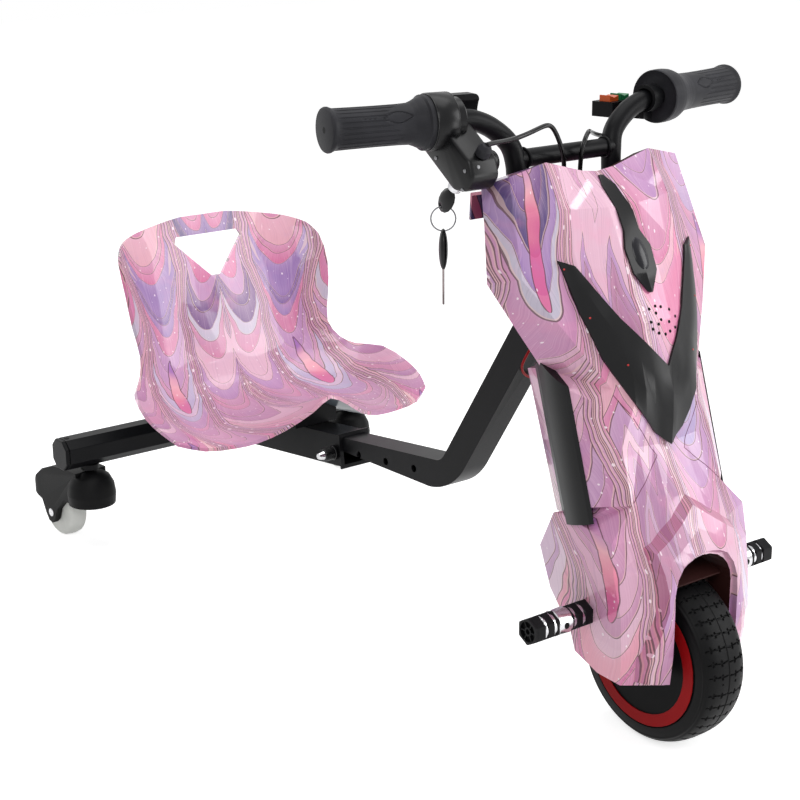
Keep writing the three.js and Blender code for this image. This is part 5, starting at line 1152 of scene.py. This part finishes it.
# The collar round the bar: distance from the middle and radius
COLLAR = [(-0.1406, 0.0113), (-0.1406, 0.0222), (-0.1420, 0.0238), (-0.1524, 0.0240), (-0.1528, 0.0290),
          (-0.1542, 0.0299), (-0.1755, 0.0299), (-0.1772, 0.0288), (-0.1774, 0.0113)]
CABLE_BOSS = [(0.0150, 0.0060), (0.0150, 0.0130), (0.0285, 0.0130), (0.0300, 0.0124), (0.0306, 0.0110),
              (0.0312, 0.0110), (0.0322, 0.0118), (0.0330, 0.0110), (0.0330, 0.0060)]
# The lock body in millimetres: its corners seen from the side, and how far each level reaches out from them
LOCK_CORNERS = ((-9, -5), (-9, -66), (-3, -74), (3, -74), (9, -66), (9, -14), (2, -4))
LOCK_LEVELS = ((19.0, 8.6), (18.2, 10.4), (16.4, 11.6), (14.0, 12.0))
LOCK_SEAT = Matrix.Translation((0.26504, -0.153, 0.6646)) @ Matrix.Rotation(-math.radians(54), 4, "Y")


def lock_body():
    """The smallest rounded form round all of the lock body's corner circles."""
    bm = bmesh.new()
    for x, z in LOCK_CORNERS:
        for y, reach in LOCK_LEVELS:
            for side in (-1, 1):
                for turn in round_turns(36):
                    bm.verts.new(((x + reach * math.cos(turn)) / 1000, side * y / 1000,
                                  (z + reach * math.sin(turn)) / 1000))
    hull = bmesh.ops.convex_hull(bm, input=bm.verts)
    spare = {v for v in hull["geom_interior"] + hull["geom_unused"] if isinstance(v, bmesh.types.BMVert)}
    bmesh.ops.delete(bm, geom=list(spare), context="VERTS")
    bmesh.ops.recalc_face_normals(bm, faces=bm.faces)
    return moved(as_object(bm, "lock_body"), LOCK_SEAT)


def lock_housing():
    """The rounded lock body with its cable boss, under the collar that clamps it to the bar."""
    collar = moved(turned_about_y("clamp_collar", COLLAR, 72), on_bar(-1))
    body = lock_body()
    boss_seat = LOCK_SEAT @ Matrix.Translation((0, 0, -0.0568))
    boss = moved(turned_about_y("cable_boss", CABLE_BOSS, 56), boss_seat)
    housing = joined("lock_housing", [painted(one, trim_black, 34) for one in (collar, body, boss)])
    mesh = housing.data
    tree = BVHTree.FromPolygons([v.co for v in mesh.vertices], [p.vertices for p in mesh.polygons])
    settle(housing, "lock_housing", "throttle_housing")
    return tree


# Where each screw of the lock housing is and which way it faces
HOUSING_SCREWS = [
    ((0.3362, -0.1608, 0.6327), (0.94, 0, 0.34)), ((0.3290, -0.1722, 0.6290), (0, -1, 0)),
    ((0.3245, -0.1722, 0.6091), (0, -1, 0)), ((0.2825, -0.1722, 0.6365), (0, -1, 0)),
]
# Where each bead of the collar lies, and its two radii
COLLAR_BEADS = [(0.1772, 0.0289, 0.0009), (0.1728, 0.0290, 0.0008), (0.1530, 0.0290, 0.0008)]


def small_fasteners(housing):
    """Screws on the lock housing, beads on the grip collar, and black discs of painted shade for the holes on
    top of the rear tube.
    """
    seats = [housing.ray_cast(Vector(place) + Vector(way) * 0.02, -Vector(way))[:2]
             for place, way in HOUSING_SCREWS]
    places = [facing(*seat) for seat in seats if seat[0] is not None]
    screws = spread("housing_screws", button("screw_head", 0.0021, 0.0012, 0.5, 18), places, screw_grey)
    settle(screws, "housing_screws", "throttle_housing", hides=False)
    rings = []
    for at, radius, wire in COLLAR_BEADS:
        loop = [(radius * math.sin(a), -at, radius * math.cos(a)) for a in round_turns(73, closed=True)]
        rings.append(tube("collar_bead", loop, wire, 10))
    beads = moved(joined("collar_beads", rings), on_bar(-1))
    smooth_by_angle(beads, 60)
    settle(beads, "collar_beads", "throttle_housing", gloss_black, hides=False)
    # Painted shade: black discs for the holes on top of the rear tube near its ends
    caps = [facing((-0.4357, side * 0.2575, 0.1680), (0, 0, 1)) for side in (-1, 1)]
    marks = spread("cap_marks", button("cap_hole", 0.0038, 0.0004, 0.1, 24), caps, hole_shade_black)
    settle(marks, "cap_marks", "rear_cross_tube", hides=False)


# Printed skins

# A face with more than this behind it is a rim, not the inside of a wall
THICKEST_WALL = 0.0075


def chart_print(piece, across, down):
    """Writes the print's own map: how far across and down the skin each corner lies, in metres."""
    layer = piece.data.uv_layers.new(name="print")
    for loop in piece.data.loops:
        place = piece.data.vertices[loop.vertex_index].co
        layer.data[loop.index].uv = (across(place), down(place))


def skin(node, name, inner, is_outer, across, down, print_finish, extra=None, crease=24):
    """A thin shell with the print on its outside and round its rim, and a plain inside."""
    piece = as_object(merged_copy(node), name)
    tree = surface(node)
    for face in piece.data.polygons:
        through = tree.ray_cast(face.center - face.normal * 2e-5, -face.normal)[3] or 1.0
        face.material_index = 0 if through > THICKEST_WALL or is_outer(face.center, face.normal) else 1
    painted(painted(piece, print_finish), inner)
    if extra:
        piece = joined(name, [piece, extra])
    smooth_by_angle(piece, crease)
    chart_print(piece, across, down)
    rounded(piece, 0.0008, degrees=crease)
    settle(piece, name, node)


def seat_across(place):
    return place.y


def seat_down(place):
    """The height on the backrest, falling on further by the way forwards over the seat."""
    return place.z - max(0.0, place.x + 0.42)


def body_across(place):
    """The side distance, with the way back along the flank added behind the front face."""
    front = 0.50 - 0.62 * max(0.0, place.z - 0.2)
    return place.y + math.copysign(max(0.0, front - place.x), place.y)


def body_down(place):
    return place.z


SEAT_MIDDLE = Vector((-0.30, 0, 0.42))


def seat_outside(centre, normal):
    return normal.dot((SEAT_MIDDLE - centre).normalized()) > -0.15


def front_outside(centre, normal):
    """Whether a face looks away from the steering column, which leans back as it rises."""
    core = Vector((0.40 - 0.35 * (centre.z - 0.3), 0, centre.z))
    return normal.dot(centre - core) > -0.001


def back_outside(centre, normal):
    return normal.x < 0.2


def lid_outside(centre, normal):
    return normal.z > -0.2


def dress_skins():
    skin("seat_shell", "bucket_seat", underside, seat_outside, seat_across, seat_down, seat_print)
    skin("front_fairing", "front_shell", liner_brown, front_outside, body_across, body_down, printed,
         arch_panel(surface("front_fairing")), 4)
    skin("back_cover", "rear_cover", liner_brown, back_outside, body_across, body_down, printed)
    skin("top_lid", "upper_lid", liner_brown, lid_outside, body_across, body_down, printed)


# Studio

WORLD_LIGHT = 0.36
FLOOR_GLOW = 0.69
FLOOR_SIZE = 9
SOFTBOXES = [
    ("key softbox", (2.2, -1.9, 2.2), (0, 0, 0.3), 1.3, 23),
    ("top softbox", (0.2, 0.2, 2.8), (0, 0, 0.2), 2.0, 30),
    ("side softbox", (2.1, 2.2, 1.5), (0.2, 0, 0.3), 1.4, 30),
    ("rear softbox", (-2.6, -0.8, 1.8), (0, 0, 0.3), 1.2, 18),
]
# Small lamps that leave their mark on the glossy front panels: the place that each lights, the way to the
# lamp, its two sizes, its power and which way its long side lies
STRIP_DISTANCE = 1.5
STRIPS = [
    ("left strip lamp", (0.3604, -0.0352, 0.5981), (0.129, 0.568, 0.813), 0.016, 0.085, 0.06,
     (-0.69, 0.70, -0.19)),
    ("right strip lamp", (0.3611, 0.0673, 0.5972), (0.589, 0.485, 0.647), 0.018, 0.088, 0.06,
     (-0.56, 0.80, 0.21)),
    ("low strip lamp", (0.4581, -0.0472, 0.3398), (0.788, 0.595, 0.158), 0.30, 0.45, 1.5, None),
    ("blade lamp", (0.4538, -0.0393, 0.3917), (0.823, 0.567, -0.019), 0.42, 0.42, 2.6, None),
]


def add_light(name, place, target, size, power, size_y=None, lengthways=None):
    """A flat lamp that faces its target, with its long side along a direction where one is given."""
    lamp = bpy.data.lights.new(name, "AREA")
    lamp.shape = "RECTANGLE"
    lamp.size = size
    lamp.size_y = size_y or size
    lamp.energy = power
    made = linked(name, lamp)
    made.location = place
    away = Vector(target) - Vector(place)
    made.rotation_euler = away.to_track_quat("-Z", "Y").to_euler()
    if lengthways:
        back = -away.normalized()
        side = Vector(lengthways).cross(back).normalized()
        made.rotation_euler = Matrix((side, back.cross(side), back)).transposed().to_euler()


def plain_sight(tree):
    """1 for what the camera sees, straight or mirrored or through glass, and 0 for what lights the object."""
    path = tree.nodes.new("ShaderNodeLightPath")
    total = path.outputs["Is Camera Ray"]
    for way in ("Is Glossy Ray", "Is Transmission Ray"):
        both = tree.nodes.new("ShaderNodeMath")
        both.operation = "MAXIMUM"
        tree.links.new(total, both.inputs[0])
        tree.links.new(path.outputs[way], both.inputs[1])
        total = both.outputs[0]
    return total


def white_world():
    world = bpy.data.worlds.new("white studio")
    bpy.context.scene.world = world
    world.use_nodes = True
    tree = world.node_tree
    ground = tree.nodes["Background"]
    ground.inputs["Color"].default_value = (1, 1, 1, 1)
    strength = tree.nodes.new("ShaderNodeMix")
    strength.data_type = "FLOAT"
    strength.inputs[2].default_value = WORLD_LIGHT
    strength.inputs[3].default_value = 1.0
    tree.links.new(plain_sight(tree), strength.inputs[0])
    tree.links.new(strength.outputs[0], ground.inputs["Strength"])


def white_floor():
    """A pale matt floor that glows a little for the camera and keeps the object's shadow."""
    bm = bmesh.new()
    bmesh.ops.create_grid(bm, x_segments=4, y_segments=4, size=FLOOR_SIZE)
    floor = as_object(bm, "studio_floor")
    s = Shades("studio floor white")
    cloud = s.noise(s.place(), scale=3, detail=2)
    s.set(Base_Color=s.ramp(cloud, [(0, (0.8, 0.8, 0.8)), (1, (0.82, 0.82, 0.82))]), Roughness=0.9,
          Specular_IOR_Level=0.1)
    glow = s.node("ShaderNodeEmission")
    s.feed(glow.inputs["Strength"], Number(s, plain_sight(s.tree)) * FLOOR_GLOW)
    both = s.node("ShaderNodeAddShader")
    s.feed(both.inputs[0], s.shader.outputs[0])
    s.feed(both.inputs[1], glow.outputs[0])
    s.feed(s.tree.nodes["Material Output"].inputs[0], both.outputs[0])
    floor.data.materials.append(s.material)


def studio():
    bpy.context.scene.view_settings.view_transform = "Standard"
    white_world()
    for softbox in SOFTBOXES:
        add_light(*softbox)
    for name, place, way, size_x, size_y, power, lengthways in STRIPS:
        lamp_place = Vector(place) + Vector(way) * STRIP_DISTANCE
        add_light(name, lamp_place, place, size_x, power, size_y, lengthways)
    white_floor()


# The photograph's camera, as fitted: where it stands and which ways are right, up and back for it
CAMERA_PLACE = (2.1058 + REAR_TUBE_X, -1.2814, 0.9193)
CAMERA_RIGHT = (0.6092, 0.7929, -0.0094)
CAMERA_UP = (-0.226, 0.1849, 0.9564)
CAMERA_BACK = (0.7601, -0.5806, 0.2919)
CAMERA_LENS = 78.12


def photo_camera():
    lens = bpy.data.cameras.new("photo camera")
    lens.sensor_width = 36
    lens.lens = CAMERA_LENS
    lens.clip_start = 0.05
    camera = linked("photo camera", lens)
    turn = Matrix((CAMERA_RIGHT, CAMERA_UP, CAMERA_BACK)).transposed().to_4x4()
    camera.matrix_world = Matrix.Translation(CAMERA_PLACE) @ turn
    bpy.context.scene.camera = camera


dress_plain_pieces()
dress_skins()
front_tyre()
grip("twist_grip", "throttle_grip", -1, RIGHT_GRIP)
grip("fixed_grip", "left_grip", 1, LEFT_GRIP)
foot_peg("peg_right", "foot_peg_right", -1)
foot_peg("peg_left", "foot_peg_left", 1)
handlebar()
blade_trim()
side_rails()
panel_details()
spear_blister()
control_cables()
keys()
threaded_boss()
small_fasteners(lock_housing())
studio()
photo_camera()
